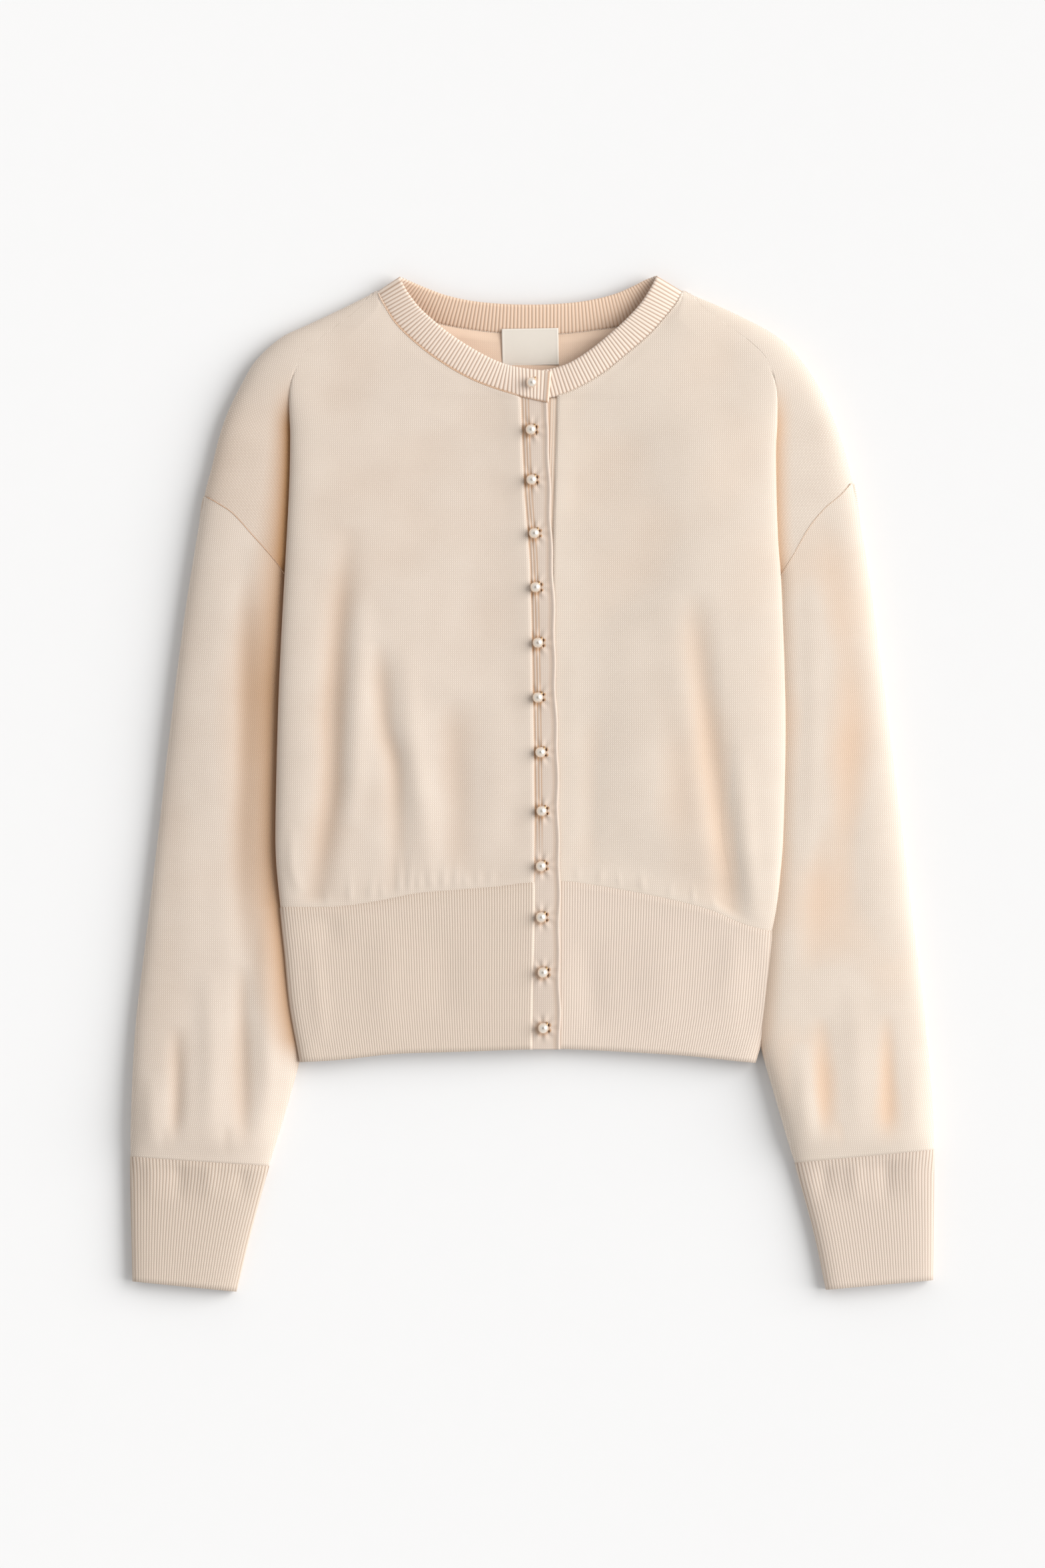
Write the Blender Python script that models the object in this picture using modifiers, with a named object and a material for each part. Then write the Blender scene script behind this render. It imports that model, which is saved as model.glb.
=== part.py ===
# Button cardigan in fine knit, laid flat on its back with the front uppermost.
# X runs across the garment, Y from hem to collar, Z up from the surface it lies on.
# Every table is in millimetres. "right" and "left" in names are the wearer's: the wearer's right
# front carries the buttonholes and lies at -X.
import math

import bpy

MM = 0.001

# driving sizes
JERSEY_WALL = 1.3
RIB_WALL = 1.8
BAND_WALL = 1.6
LABEL_WALL = 0.8
LABEL_SIZE = (37.5, 24.5)
LABEL_PLACE = (-1.3, 288.2, 3.0)       # its centre
LABEL_TURN = (4.6, 1.0)                # degrees: rise towards the neck seam, turn in plan
SEAM_GAP = 0.3
NECK_GAP = 0.6             # the same across the neck seam, along X and along Y
ARMHOLE_GAP = 0.9          # and across the armhole seams
SHOULDER_GAP = 1.4         # and where back meets front under the shoulder's edge
RIB_GAP = 0.5              # and along the top of the hem
EDGE_HEIGHT = 4.5          # height of the outline's fold above the surface
EDGE_RUN = 5.0             # how far that fold takes to reach the surface underneath
SIDE_X = 160.0             # where the levels of the hem's two ends are read
SIDE_SEAM_X = 138.0        # where front meets back under the body's side roll
VALLEY_HEIGHT = 6.5        # bottom of the crease between body and shoulder cap
VALLEY_TUCK = 2.0          # how far that crease runs in under the body's roll
BAND_TOP = 13.2            # upper face of the closed front bands above the surface
HEM_BAND_TOP = 11.2        # the same at the lower end of the hem
NECK_END_TOP = 13.9        # upper face of the neckband's upper end
UNDER_DROP = 2.4           # upper face of what lies under the buttonhole band, below BAND_TOP
PEARL_RADIUS = 4.0
PEARL_LIFT = 5.35          # pearl's centre above the band it sits on
SHANK_RING = 1.1
SHANK_WIRE = 0.4
SHANK_SINK = 0.45          # shank's centre below the top of the band
SLIT_WIDTH = 1.8
SLIT_LENGTH = 9.0
SLIT_OFFSET = (2.0, 1.8)   # from a pearl's centre to the middle of its buttonhole
SLIT_DEPTH = (-6.0, 3.0)   # the cutter's ends below and above the band
SHOULDER_EDGE_RUN = 34.0   # how far the shoulder takes to rise from its edge where no crease parts it
CREASE_TOP = 278.0         # the crease starts here and reaches its whole depth
CREASE_FADE = 46.0         # this much lower
CAP_FOOT = 150.0           # above this the cap's inner side is the crease, below it the sleeve's own edge
BAND_SLOPE = (-190.0, 150.0)   # the closed bands rise from this y, over this length
FRONT_SLOPE = 0.04         # share of a front next to its inner boundary that stays level
CREST_LEAST = 0.35         # the crest of the body's roll is at least this share of the way to the fold
SIDE_SHARE = 20.0          # share of the path round the side that the roll itself takes
SIDE_FIRST = (0.24, 3.0, 26.0)   # share of that path under the armhole, how far below it the share
#                                  starts to grow, and the length over which it becomes whole
HEM_SEAM = {"right": 60, "left": 108}        # angle on the roll where the hem's side seam runs
HEM_SEAM_TURN = {"right": 5, "left": 18}     # angle that the seam takes
HEM_ROWS = (0, 0.3, 0.65, 1)
RING_STEPS = 8                               # points over the top of a sleeve
RING_FLOOR = (0.35, 0.65)                    # shares across a sleeve where its underside lies flat
CUFF_TOP = {"right": (-246.5, -252.6), "left": (-241.8, -250.4)}      # y outside, y inside
CUFF_END = {"right": (-328.2, -334.8), "left": (-327.4, -333.5)}
CUFF_ROWS = (0, 0.12, 0.5, 1)
SLEEVE_ROWS = ((176, 118), (158, 100), (132, 80), (100, 56), (62, 28), (24, -2), (-20, -34),
               (-64, -70), (-106, -108), (-144, -145), (-176, -177), (-204, -206), (-226, -229))
ARMHOLE_BOW = 0.9          # how closely the sleeve's first ring follows the armhole
BAND_TOP_ROW = {"right": 251.6, "left": 250.4}    # upper ends of the bands under the neckband
BAND_ROWS = (240, 224, 208, 190, 172, 154, 136, 118, 100, 82, 64, 46, 28, 10, -8, -26, -44, -62,
             -80, -98, -116, -134, -152, -168)
# across the buttonhole band: share of its width, height over the band's level
BAND_CROWN = ((0, 0), (0.3, 0.2), (0.7, 0.2), (0.93, 0), (1, -0.5))

# columns: y, distance from the middle line
OUTLINE = {
    "right": [(324, 101.4), (312, 125.6), (301, 149), (294, 164), (279, 181), (263, 190.7),
              (245, 199.6), (229, 205.2), (208, 210.4), (192, 214.6), (154, 221.4), (105, 229),
              (37, 237.6), (-39, 246.2), (-116, 255.4), (-157, 260.3), (-200, 262.9), (-247, 263.8),
              (-328, 262.2)],
    "left": [(324, 98.6), (315, 120.3), (306, 139.5), (297, 156.4), (288, 168), (271, 182),
             (253, 192.2), (236, 199.2), (218, 205.3), (198, 210.3), (165, 216.4), (130, 222),
             (60, 231.2), (-11, 240.4), (-81, 248.8), (-151, 257.6), (-187, 261.1), (-222, 263.6),
             (-242, 263.8), (-328, 263)],
}
FOLD = {
    "right": [(324, 103), (312, 114), (301, 128), (290, 142), (279, 152), (262, 158.5), (227, 158.4),
              (195, 159.1), (138, 162.1), (97, 164.3), (54, 166.2), (-13, 167.9), (-47, 167.9),
              (-79, 165.2), (-113, 161.9), (-147, 158.6), (-184, 151.8)],
    "left": [(324, 101), (312, 113), (301, 128), (290, 143), (279, 153), (262, 160), (240, 160.8),
             (219, 159.9), (162, 161.3), (136, 163), (86, 165.2), (30, 166), (-37, 164.3),
             (-64, 162.2), (-83, 160.8), (-98, 158.6), (-125, 156.9), (-159, 153), (-184, 146)],
}
SLEEVE_INNER = {
    "right": [(190, 160), (137, 162.4), (110, 160.8), (60, 162.4), (0, 164), (-50, 164), (-80, 161.6),
              (-113, 158.2), (-147, 155.4), (-172, 153.6), (-183, 154.6), (-206, 160.8),
              (-230, 167.9), (-252.6, 174.9), (-300, 188), (-335, 196.5)],
    "left": [(200, 160), (136, 163), (110, 161.6), (60, 162.2), (0, 161.6), (-50, 160), (-80, 157.6),
             (-98, 155.2), (-125, 153.2), (-158, 150.2), (-170, 150.9), (-205, 160.8),
             (-241, 171.4), (-250.4, 174.5), (-296, 187.2), (-333.5, 195.1)],
}
# columns: y, distance from the middle line, from the outline inwards
ARMHOLE = {
    "right": [(189.2, 215), (180.4, 204.2), (165, 188), (151, 174.5), (143.7, 167.9), (137.3, 162.8)],
    "left": [(198, 210.2), (190, 203), (181.7, 193), (169, 182.4), (151, 172.2), (136, 163.4)],
}
# columns: distance from the middle line, y
RIB_TOP = {
    "right": [(-20, -65.1), (4, -66.2), (23, -68.6), (50, -70.8), (76, -73), (103, -78.3),
              (130, -81.8), (170, -81.8)],
    "left": [(-10, -65.6), (19, -65.1), (37, -67.1), (64, -71.7), (91, -77.2), (118, -84.5),
             (137, -92.7), (158, -98.1), (170, -98.3)],
}
HEM_END = {
    "right": [(-20, -174.9), (9, -175.3), (50, -176.7), (90, -178), (130, -182.2), (170, -184)],
    "left": [(-10, -175), (18, -174.8), (64, -176.9), (104, -179.5), (144, -183.6), (170, -184)],
}
# columns: y, crest height, run from crest to fold, fold height, run under the fold to the surface
BODY_ROLL = [
    (324, 10, 12, 9, 20), (300, 13, 26, 10, 22), (260, 15.5, 34, 11.5, 22), (200, 17.5, 38, 12, 22),
    (100, 18, 38, 12, 22), (-20, 18.5, 40, 12, 22), (-45, 18, 38, 12, 22), (-66, 16, 32, 10.8, 21),
    (-84, 13.6, 28, 9, 19), (-120, 12.2, 26, 8.4, 18), (-150, 11.6, 25, 7.8, 17), (-184, 11, 22, 6.6, 14),
]
# columns: y, sleeve height, height of its inner edge, run from that edge to the surface
SLEEVE_BODY = [
    (324, 9, 6.5, 4), (260, 12, 6.5, 4), (190, 14, 6.5, 4), (137, 14.5, 6.2, 4), (110, 14.5, 2.4, 3),
    (0, 14, 2.2, 3), (-120, 14, 2.2, 3), (-170, 14.5, 3, 4), (-200, 15.5, 4.4, 5), (-232, 16, 4.6, 5),
    (-247, 12, 4.6, 5), (-258, 10.2, 4.4, 5), (-300, 9.6, 4.4, 5), (-335, 9.2, 4.4, 5),
]
# columns: y, x of the band's seam edge, x of its free edge
BUTTONHOLE_BAND = [(254, -8.3, 10.2), (193, -5.9, 12.1), (148, -2.5, 13.9), (81, -0.7, 15.6),
                   (-11, 0.7, 17.8), (-60, 0.8, 18.4), (-176, -1.5, 18.7)]
BUTTON_BAND = [(254, 17.1, -6.5), (209, 15.9, -5), (165, 14.6, -3), (80, 13.4, -1.5),
               (0, 13, 0), (-176, 13, 0.5)]
PEARLS = [  # columns: y, x
    (264.2, -0.4), (233.2, -0.9), (200.2, -0.4), (165, 1.3), (129.4, 2.2), (92.8, 3.7), (56.8, 3.7),
    (20.7, 5.5), (-18, 6.2), (-54.3, 5.8), (-88, 5.9), (-124.4, 7), (-161, 7.3),
]
# neckband, from its upper end round the back to its lower end
# columns: seam edge x, y, free edge x, y, height of the seam edge, height of the free edge
NECKBAND = [
    (10.3, 251.2, 12.1, 271.6, 13, 13), (-9, 255.6, -9.5, 274.4, 13, 13.2),
    (-29.9, 262.2, -23, 278.4, 12.8, 13.4), (-46.9, 269.9, -38, 286, 12.6, 13.6),
    (-65, 281.2, -54, 296.4, 12.2, 13.8), (-79, 292.3, -65.8, 306, 11.6, 14),
    (-90.2, 303.6, -74.4, 314, 10.8, 13.8), (-97.3, 314.8, -81.6, 323.4, 9.6, 13),
    (-100.7, 321.2, -85.6, 330.4, 8.2, 11.6), (-101.6, 324, -87, 333.6, 6, 9.4),
    (-99.6, 322.8, -85.2, 333.4, 3.6, 7.2), (-93, 318.4, -79.6, 331, 1.8, 6.2),
    (-79.5, 310.6, -70, 327, 0.95, 6), (-63.1, 304.2, -56.6, 322.1, 0.95, 6),
    (-42, 300, -38.4, 318.2, 0.95, 6.4), (-20.5, 297.5, -19.4, 316.4, 0.95, 6.8),
    (0, 296.8, 0, 315.9, 0.95, 7), (19.5, 297, 19.4, 316.6, 0.95, 6.8),
    (40, 299.2, 37.6, 318.8, 0.95, 6.4), (60.5, 302.6, 54.4, 323, 0.95, 6),
    (77, 310, 65.8, 327.8, 0.95, 6), (90, 318, 75, 332.4, 1.8, 6.2),
    (96.6, 323, 79.8, 334.1, 3.6, 7.2), (98.7, 324.2, 81.6, 334.3, 6, 9.4),
    (97.6, 320.8, 80.2, 331, 8.2, 11.6), (94.2, 315, 76.6, 324.4, 9.6, 13),
    (88.7, 308.1, 71.6, 316.8, 10.6, 13.6), (77.9, 296, 62.6, 306.8, 11.4, 13.6),
    (62.7, 282.9, 51.4, 296.6, 11.8, 13.2), (47.6, 270.7, 38.6, 286.2, 11.8, 12.8),
    (32.3, 261.6, 25, 277.6, 11.5, 12.2), (17.2, 255.6, 12.4, 273.4, 10.8, 11.2),
    (-6, 252.6, -8, 271.4, 10.5, 10.5),
]
NECK_TURNS = (9, 23)       # rows of NECKBAND at the two neck points
NECK_SEAM = {"right": NECKBAND[1:9], "left": NECKBAND[24:32]}      # rows that meet the fronts
# how sections fan out over the shoulder
# columns: y at the neck seam, y at the fold, y at the outline
SHOULDER_FAN = [
    (324, 324.4, 325), (320, 321.4, 322.6), (311.5, 315, 317.5), (303.6, 308, 311), (292.3, 298, 303),
    (281.2, 288, 293.5), (269.9, 276, 281), (262.2, 266, 269), (255.6, 257, 257.6), (249, 248, 247),
]
TOP_COLUMNS = (0, 0.07, 0.24, 0.48, 0.75, 1)      # shares of the way from inner boundary to crest
CAP_COLUMNS = (0.16, 0.42, 0.7, 0.9)              # shares of the way from crease to outline
ROLL_COLUMNS = 3
SIDE_COLUMNS = 8


def lerp(a, b, t):
    return a + (b - a) * t


def ease(t):
    t = min(max(t, 0.0), 1.0)
    return t * t * (3 - 2 * t)


# value of one column of a table at a station, on a smooth curve through its rows
def along(table, at, column=1):
    rows = table if table[0][0] < table[-1][0] else table[::-1]
    keys = [row[0] for row in rows]
    values = [row[column] for row in rows]
    if at <= keys[0]:
        return values[0]
    if at >= keys[-1]:
        return values[-1]
    last = len(keys) - 1
    slope = []
    for i in range(last + 1):
        low, high = max(i - 1, 0), min(i + 1, last)
        slope.append((values[high] - values[low]) / (keys[high] - keys[low]))
    i = max(k for k in range(last) if keys[k] <= at)
    run = keys[i + 1] - keys[i]
    t = (at - keys[i]) / run
    blend_a = (1 + 2 * t) * (1 - t) ** 2 * values[i] + t * t * (3 - 2 * t) * values[i + 1]
    blend_b = run * (t * (1 - t) ** 2 * slope[i] - t * t * (1 - t) * slope[i + 1])
    return blend_a + blend_b


# the same on straight lines between the rows
def straight(table, at, column=1):
    rows = table if table[0][0] < table[-1][0] else table[::-1]
    for a, b in zip(rows, rows[1:]):
        if at <= b[0]:
            return lerp(a[column], b[column], max(0.0, (at - a[0]) / (b[0] - a[0])))
    return rows[-1][column]


def quarter(run, distance):
    # 0 at the edge of a quarter round, 1 once past its run
    t = 1 - min(max(distance / run, 0.0), 1.0)
    return math.sqrt(1 - t * t)


# ---- heights of the laid garment -------------------------------------------------
def band_top(y):
    low, length = BAND_SLOPE
    return lerp(HEM_BAND_TOP, BAND_TOP, ease((y - low) / length))


def crease_depth(y):
    return ease((CREASE_TOP - y) / CREASE_FADE)


# unit normal of the outline in plan, pointing into the garment, for the half at +X
def outline_normal(side, y):
    step = 3.0
    dx = along(OUTLINE[side], y + step) - along(OUTLINE[side], y - step)
    length = math.hypot(dx, 2 * step)
    return -2 * step / length, dx / length


def edge_distance(side, x, y):
    nx, ny = outline_normal(side, y)
    return (along(OUTLINE[side], y) - x) * -nx


# upper face of the shoulder cap and sleeve
def cap_height(side, x, y):
    inner = along(FOLD[side], y) - VALLEY_TUCK if y > CAP_FOOT else along(SLEEVE_INNER[side], y)
    outer = along(OUTLINE[side], y)
    half = (outer - inner) / 2
    height = along(SLEEVE_BODY, y, 1)
    low = along(SLEEVE_BODY, y, 2)
    from_edge = EDGE_HEIGHT + (height - EDGE_HEIGHT) * quarter(half, edge_distance(side, x, y))
    from_crease = low + (height - low) * quarter(half, x - inner) ** 1.5
    return min(from_edge, from_crease)


# upper face of shoulder and front where no crease parts them
def shoulder_height(side, x, y, middle):
    return EDGE_HEIGHT + (middle - EDGE_HEIGHT) * quarter(SHOULDER_EDGE_RUN, edge_distance(side, x, y))


# ---- body fronts -----------------------------------------------------------------
def neck_boundary(side, y):
    table = [(row[1], abs(row[0]), row[4]) for row in NECK_SEAM[side]]
    return straight(table, y + NECK_GAP, 1) + NECK_GAP, straight(table, y + NECK_GAP, 2)


def inner_boundary(side, y):
    if side == "right":
        seam = (-along(BUTTONHOLE_BAND, y, 1) + SEAM_GAP, band_top(y))
    else:
        seam = (along(BUTTON_BAND, y, 1) + SEAM_GAP, band_top(y) - UNDER_DROP)
    if y < NECK_SEAM[side][0][1] - 2 and y < NECK_SEAM[side][-1][1] - 2:
        return seam
    return neck_boundary(side, y)[0], neck_boundary(side, y)[1] + 0.5


# share of the rise from a front's inner boundary to its crest
def front_rise(t):
    return ease((t - FRONT_SLOPE) / (1 - FRONT_SLOPE))


# one section across a front from its inner boundary to the seam with the back or sleeve
def front_section(side, y_in, y_fold, y_out, sag=0.0):
    x_in, z_in = inner_boundary(side, y_in)
    fold = along(FOLD[side], y_fold)
    crest_z, crest_run, fold_z, under = (along(BODY_ROLL, y_fold, c) for c in (1, 2, 3, 4))
    crest = max(fold - crest_run, lerp(x_in, fold, CREST_LEAST))
    deep = crease_depth(y_fold)
    points = []
    for t in TOP_COLUMNS:
        points.append((lerp(x_in, crest, t), lerp(y_in, y_fold, t), lerp(z_in, crest_z, front_rise(t))))
    for i in range(1, ROLL_COLUMNS + 1):
        angle = math.pi / 2 * i / ROLL_COLUMNS
        x = lerp(crest, fold, math.sin(angle))
        rolled = lerp(fold_z, crest_z, math.cos(angle))
        plain = min(crest_z, shoulder_height(side, x, y_fold, crest_z))
        points.append((x, y_fold, lerp(plain, rolled, deep)))
    points += side_section(side, y_fold, y_out, fold, fold_z, under, deep, crest_z)
    return [sagged(side, point, sag) for point in points]


# how far the rib's top edge stands above its level at the side; the underside stays level
def rib_rise(side, x, z):
    return (along(RIB_TOP[side], x) - along(RIB_TOP[side], SIDE_X)) * ease((z - 1) / 7)


# the lowest rows of a front follow the curve of the rib's top edge
def sagged(side, point, sag):
    x, y, z = point
    return x, y + sag * rib_rise(side, x, z), z


def side_section(side, y_fold, y_out, fold, fold_z, under, deep, crest_z):
    seam_top = ARMHOLE[side][0][0]
    seam_low = ARMHOLE[side][-1][0]
    points = []
    if y_out > seam_top:                                   # shoulder: over the cap, round its edge
        outer = along(OUTLINE[side], y_out)
        nx, ny = outline_normal(side, y_out)
        valley = fold - VALLEY_TUCK * deep
        plain = shoulder_height(side, fold + 1, y_fold, crest_z)
        points.append((lerp(fold + 1.5, valley, deep), y_fold, lerp(plain, VALLEY_HEIGHT, deep)))
        for t in CAP_COLUMNS:
            x, y = lerp(valley, outer, t), lerp(y_fold, y_out, t)
            flat = shoulder_height(side, x, y, crest_z)
            points.append((x, y, lerp(flat, cap_height(side, x, y), deep)))
        points.append((outer, y_out, EDGE_HEIGHT))
        for angle in (math.pi / 4, math.pi / 2):
            inset = EDGE_RUN * (1 - math.cos(angle))
            z = EDGE_HEIGHT * (1 - math.sin(angle))
            points.append((outer + nx * inset, y_out + ny * inset, z))
        return points
    if y_out > seam_low:                                   # armhole: over the cap to its seam
        valley = fold - VALLEY_TUCK
        seam = along(ARMHOLE[side], y_out) - SEAM_GAP
        points.append((valley, y_out, VALLEY_HEIGHT))
        for t in CAP_COLUMNS + (0.96, 0.985, 1):
            x = lerp(valley, seam, t)
            points.append((x, y_out, max(cap_height(side, x, y_out), EDGE_HEIGHT)))
        return points
    first, below, length = SIDE_FIRST
    reach = lerp(first, 1.0, ease((seam_low - below - y_out) / length))
    end = SIDE_SEAM_X + SEAM_GAP / 2
    floor_run = max(fold - under - end, 0.5)
    for i in range(1, SIDE_COLUMNS + 1):                   # side: under the roll to the side seam
        path = (SIDE_SHARE + floor_run) * reach * i / SIDE_COLUMNS
        angle = math.pi / 2 * min(path / SIDE_SHARE, 1.0)
        x = fold - under * (1 - math.cos(angle)) - max(path - SIDE_SHARE, 0.0)
        points.append((x, y_out, fold_z * (1 - math.sin(angle))))
    return points


def front_rows(side):
    seam_top = ARMHOLE[side][0][0]
    seam_low = ARMHOLE[side][-1][0]
    rib = along(RIB_TOP[side], SIDE_X)
    starts = sorted((row[1] - NECK_GAP for row in NECK_SEAM[side]), reverse=True)
    rows = []
    for y in starts + [249]:
        rows.append(front_section(side, y, along(SHOULDER_FAN, y, 1), along(SHOULDER_FAN, y, 2)))
    for y in (232, 213):
        rows.append(front_section(side, y, y, y))
    for y in (seam_top + 3, seam_top - 1.5, seam_top - 12, seam_top - 24, seam_top - 36, seam_low + 5):
        rows.append(front_section(side, y, y, y))
    for y in (seam_low - 4, seam_low - 12, seam_low - 22, seam_low - 34, 70, 30, -10, rib + 44):
        rows.append(front_section(side, y, y, y))
    for above, sag in ((29, 0.45), (16, 0.75), (6, 0.94), (RIB_GAP / 2, 1.0)):
        rows.append(front_section(side, rib + above, rib + above, rib + above, sag))
    return rows


# ---- hem -------------------------------------------------------------------------
# y at a share of the way down the hem, of a point on the front or round the side
def hem_line(side, x, z, v):
    top = along(RIB_TOP[side], SIDE_X) + rib_rise(side, x, z) - RIB_GAP / 2
    return lerp(top, along(HEM_END[side], x), v)


# the same for the layer underneath, whose top edge runs straight across
def hem_under_line(x, v):
    right, left = (along(RIB_TOP[side], SIDE_X) for side in ("right", "left"))
    end = along(HEM_END["left" if x > 0 else "right"], abs(x))
    return lerp(lerp(right, left, (x + SIDE_X) / 2 / SIDE_X) - RIB_GAP / 2, end, v)


# angles on the side roll, 0 at the crest, 90 at the fold, 180 where it meets the surface
def roll_point(side, y, angle):
    fold = along(FOLD[side], y)
    crest_z, crest_run, fold_z, under = (along(BODY_ROLL, y, c) for c in (1, 2, 3, 4))
    turn = math.radians(angle)
    if angle <= 90:
        return fold - crest_run * (1 - math.sin(turn)), lerp(fold_z, crest_z, math.cos(turn))
    return fold - under * (1 - math.sin(turn)), fold_z * (1 + math.cos(turn))


def hem_front_rows(side):
    rows = []
    for v in HEM_ROWS:
        level = hem_line(side, SIDE_X, 0, v)
        crest_x, crest_z = roll_point(side, level, 0)
        x_in, z_in = inner_boundary(side, level)
        section = []
        for t in TOP_COLUMNS:
            x, z = lerp(x_in, crest_x, t), lerp(z_in, crest_z, front_rise(t))
            section.append((x, hem_line(side, x, z, v), z))
        for i in range(1, 4):
            x, z = roll_point(side, level, HEM_SEAM[side] * i / 3)
            section.append((x, hem_line(side, x, z, v), z))
        rows.append(section)
    return rows


def hem_back_rows():
    rows = []
    for v in HEM_ROWS:
        section = []
        for side, sign in (("right", -1), ("left", 1)):
            level = hem_line(side, SIDE_X, 0, v)
            start = HEM_SEAM[side] + HEM_SEAM_TURN[side]
            floor_x = roll_point(side, level, 180)[0]
            half = [(sign * floor_x * t, hem_under_line(sign * floor_x * t, v), 0.0) for t in (0.4, 0.75)]
            for i in range(6):
                x, z = roll_point(side, level, lerp(180, start, i / 5))
                half.append((sign * x, hem_line(side, x, z, v), max(z, 0.0)))
            section = half[::-1] if side == "right" else section + half
        rows.append(section)
    return rows


# ---- sleeves and cuffs -----------------------------------------------------------
# one closed ring in plan between a point on the outline and one on the inner edge
def sleeve_ring(side, y_outer, y_inner, bow=0.0):
    x_outer = along(OUTLINE[side], y_outer)
    x_inner = along(SLEEVE_INNER[side], y_inner)
    low = along(SLEEVE_BODY, y_inner, 2)
    low_run = along(SLEEVE_BODY, y_inner, 3)
    seam = [(row[1], row[0]) for row in ARMHOLE[side]]
    over, under = [], []
    for i in range(RING_STEPS + 1):
        t = 0.5 - 0.5 * math.cos(math.pi * i / RING_STEPS)
        x, y = lerp(x_outer, x_inner, t), lerp(y_outer, y_inner, t)
        y = lerp(y, straight(seam, x) - ARMHOLE_GAP, bow)
        z = cap_height(side, x, y)
        if i == 0:
            z = EDGE_HEIGHT
        if i == RING_STEPS:
            z = low
        over.append((x, y, z))
    length = math.hypot(x_outer - x_inner, y_outer - y_inner)
    for distance, run, height in ((1.5, EDGE_RUN, EDGE_HEIGHT), (EDGE_RUN, EDGE_RUN, EDGE_HEIGHT)):
        t = distance / length
        lift = height * (1 - quarter(run, distance))
        under.append((lerp(x_outer, x_inner, t), lerp(y_outer, y_inner, t), lift))
    for t in RING_FLOOR:
        under.append((lerp(x_outer, x_inner, t), lerp(y_outer, y_inner, t), 0.0))
    for distance in (low_run, low_run * 0.3):
        t = 1 - distance / length
        lift = low * (1 - quarter(low_run, distance))
        under.append((lerp(x_outer, x_inner, t), lerp(y_outer, y_inner, t), lift))
    if bow:
        under = [(x, lerp(y, straight(seam, x) - ARMHOLE_GAP, bow), z) for x, y, z in under]
    return over + under[::-1]


def sleeve_rings(side):
    seam_top = ARMHOLE[side][0][0] - ARMHOLE_GAP
    seam_low = ARMHOLE[side][-1][0] - ARMHOLE_GAP
    cuff_outer, cuff_inner = CUFF_TOP[side]
    rings = [sleeve_ring(side, seam_top, seam_low, ARMHOLE_BOW)]
    for outer, inner in SLEEVE_ROWS:
        rings.append(sleeve_ring(side, outer, inner))
    rings.append(sleeve_ring(side, cuff_outer + 8, cuff_inner + 8))
    rings.append(sleeve_ring(side, cuff_outer + SEAM_GAP, cuff_inner + SEAM_GAP))
    return rings


def cuff_rings(side):
    rings = []
    for v in CUFF_ROWS:
        outer = lerp(CUFF_TOP[side][0], CUFF_END[side][0], v)
        inner = lerp(CUFF_TOP[side][1], CUFF_END[side][1], v)
        rings.append(sleeve_ring(side, outer, inner))
    return rings


# ---- bands -----------------------------------------------------------------------
def buttonhole_rows():
    rows = []
    end = along(HEM_END["right"], 0)
    start = BAND_TOP_ROW["right"]
    for y in (start,) + BAND_ROWS + (end,):
        seam, free = along(BUTTONHOLE_BAND, y, 1), along(BUTTONHOLE_BAND, y, 2)
        row = []
        for t, lift in BAND_CROWN:
            x = lerp(seam + SEAM_GAP, free, t)
            slant = (x - 1) * -0.2 if y == start else 0      # the top end runs along the neckband
            row.append((x, y + slant, band_top(y) + lift))
        rows.append(row)
    return rows


def button_band_rows():
    rows = []
    end = along(HEM_END["right"], 0)
    start = BAND_TOP_ROW["left"]
    for y in (start,) + BAND_ROWS + (end,):
        seam, free = along(BUTTON_BAND, y, 1), along(BUTTON_BAND, y, 2)
        top = band_top(y) - UNDER_DROP
        slant = 3 if y == start else 0
        rows.append([(lerp(free, seam - SEAM_GAP, t), y + t * slant, top) for t in (0, 0.5, 1)])
    return rows


# ---- flat pieces -----------------------------------------------------------------
def back_outline():
    rows = []
    for side, sign in (("right", -1), ("left", 1)):
        half = []
        rib = along(RIB_TOP[side], SIDE_X)
        low = ARMHOLE[side][-1][0]
        inner = SIDE_SEAM_X - SEAM_GAP / 2
        for x in (0, 50, 100):
            half.append((x, hem_under_line(sign * x, 0) + 2 * SEAM_GAP))
        half.append((inner, rib + SEAM_GAP))
        half += [(inner, 40), (inner, low - 30), (inner + 2, low - 22), (inner + 9, low - 16)]
        for y, x in ARMHOLE[side][::-1]:
            half.append((min(x, along(OUTLINE[side], y) - EDGE_RUN - 1), y + SEAM_GAP))
        for y in (213, 232, 247, 257.6, 269, 281, 293.5, 303, 311, 316):
            nx, ny = outline_normal(side, y)
            inset = EDGE_RUN + SHOULDER_GAP
            half.append((along(OUTLINE[side], y) + nx * inset, y + ny * inset))
        turn = NECK_TURNS[0] if side == "right" else NECK_TURNS[1]
        step = 1 if side == "right" else -1
        for i in range(2, 8):
            x, y = NECKBAND[turn + step * i][:2]
            half.append((abs(x), y - 0.6))
        half = [(sign * x, y) for x, y in half]
        rows.append(half)
    right, left = rows
    return left + right[:0:-1]


# ---- modelling -------------------------------------------------------------------
def clear_scene():
    for old in list(bpy.data.objects):
        bpy.data.objects.remove(old, do_unlink=True)


def collection(name):
    made = bpy.data.collections.new(name)
    bpy.context.scene.collection.children.link(made)
    return made


def finish(name, color, roughness, metallic=0.0):
    material = bpy.data.materials.new(name)
    material.use_nodes = True
    shader = material.node_tree.nodes["Principled BSDF"]
    shader.inputs["Base Color"].default_value = (*color, 1)
    shader.inputs["Roughness"].default_value = roughness
    shader.inputs["Metallic"].default_value = metallic
    return material


def place(name, mesh, group, material):
    made = bpy.data.objects.new(name, mesh)
    group.objects.link(made)
    mesh.materials.append(material)
    return made


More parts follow.
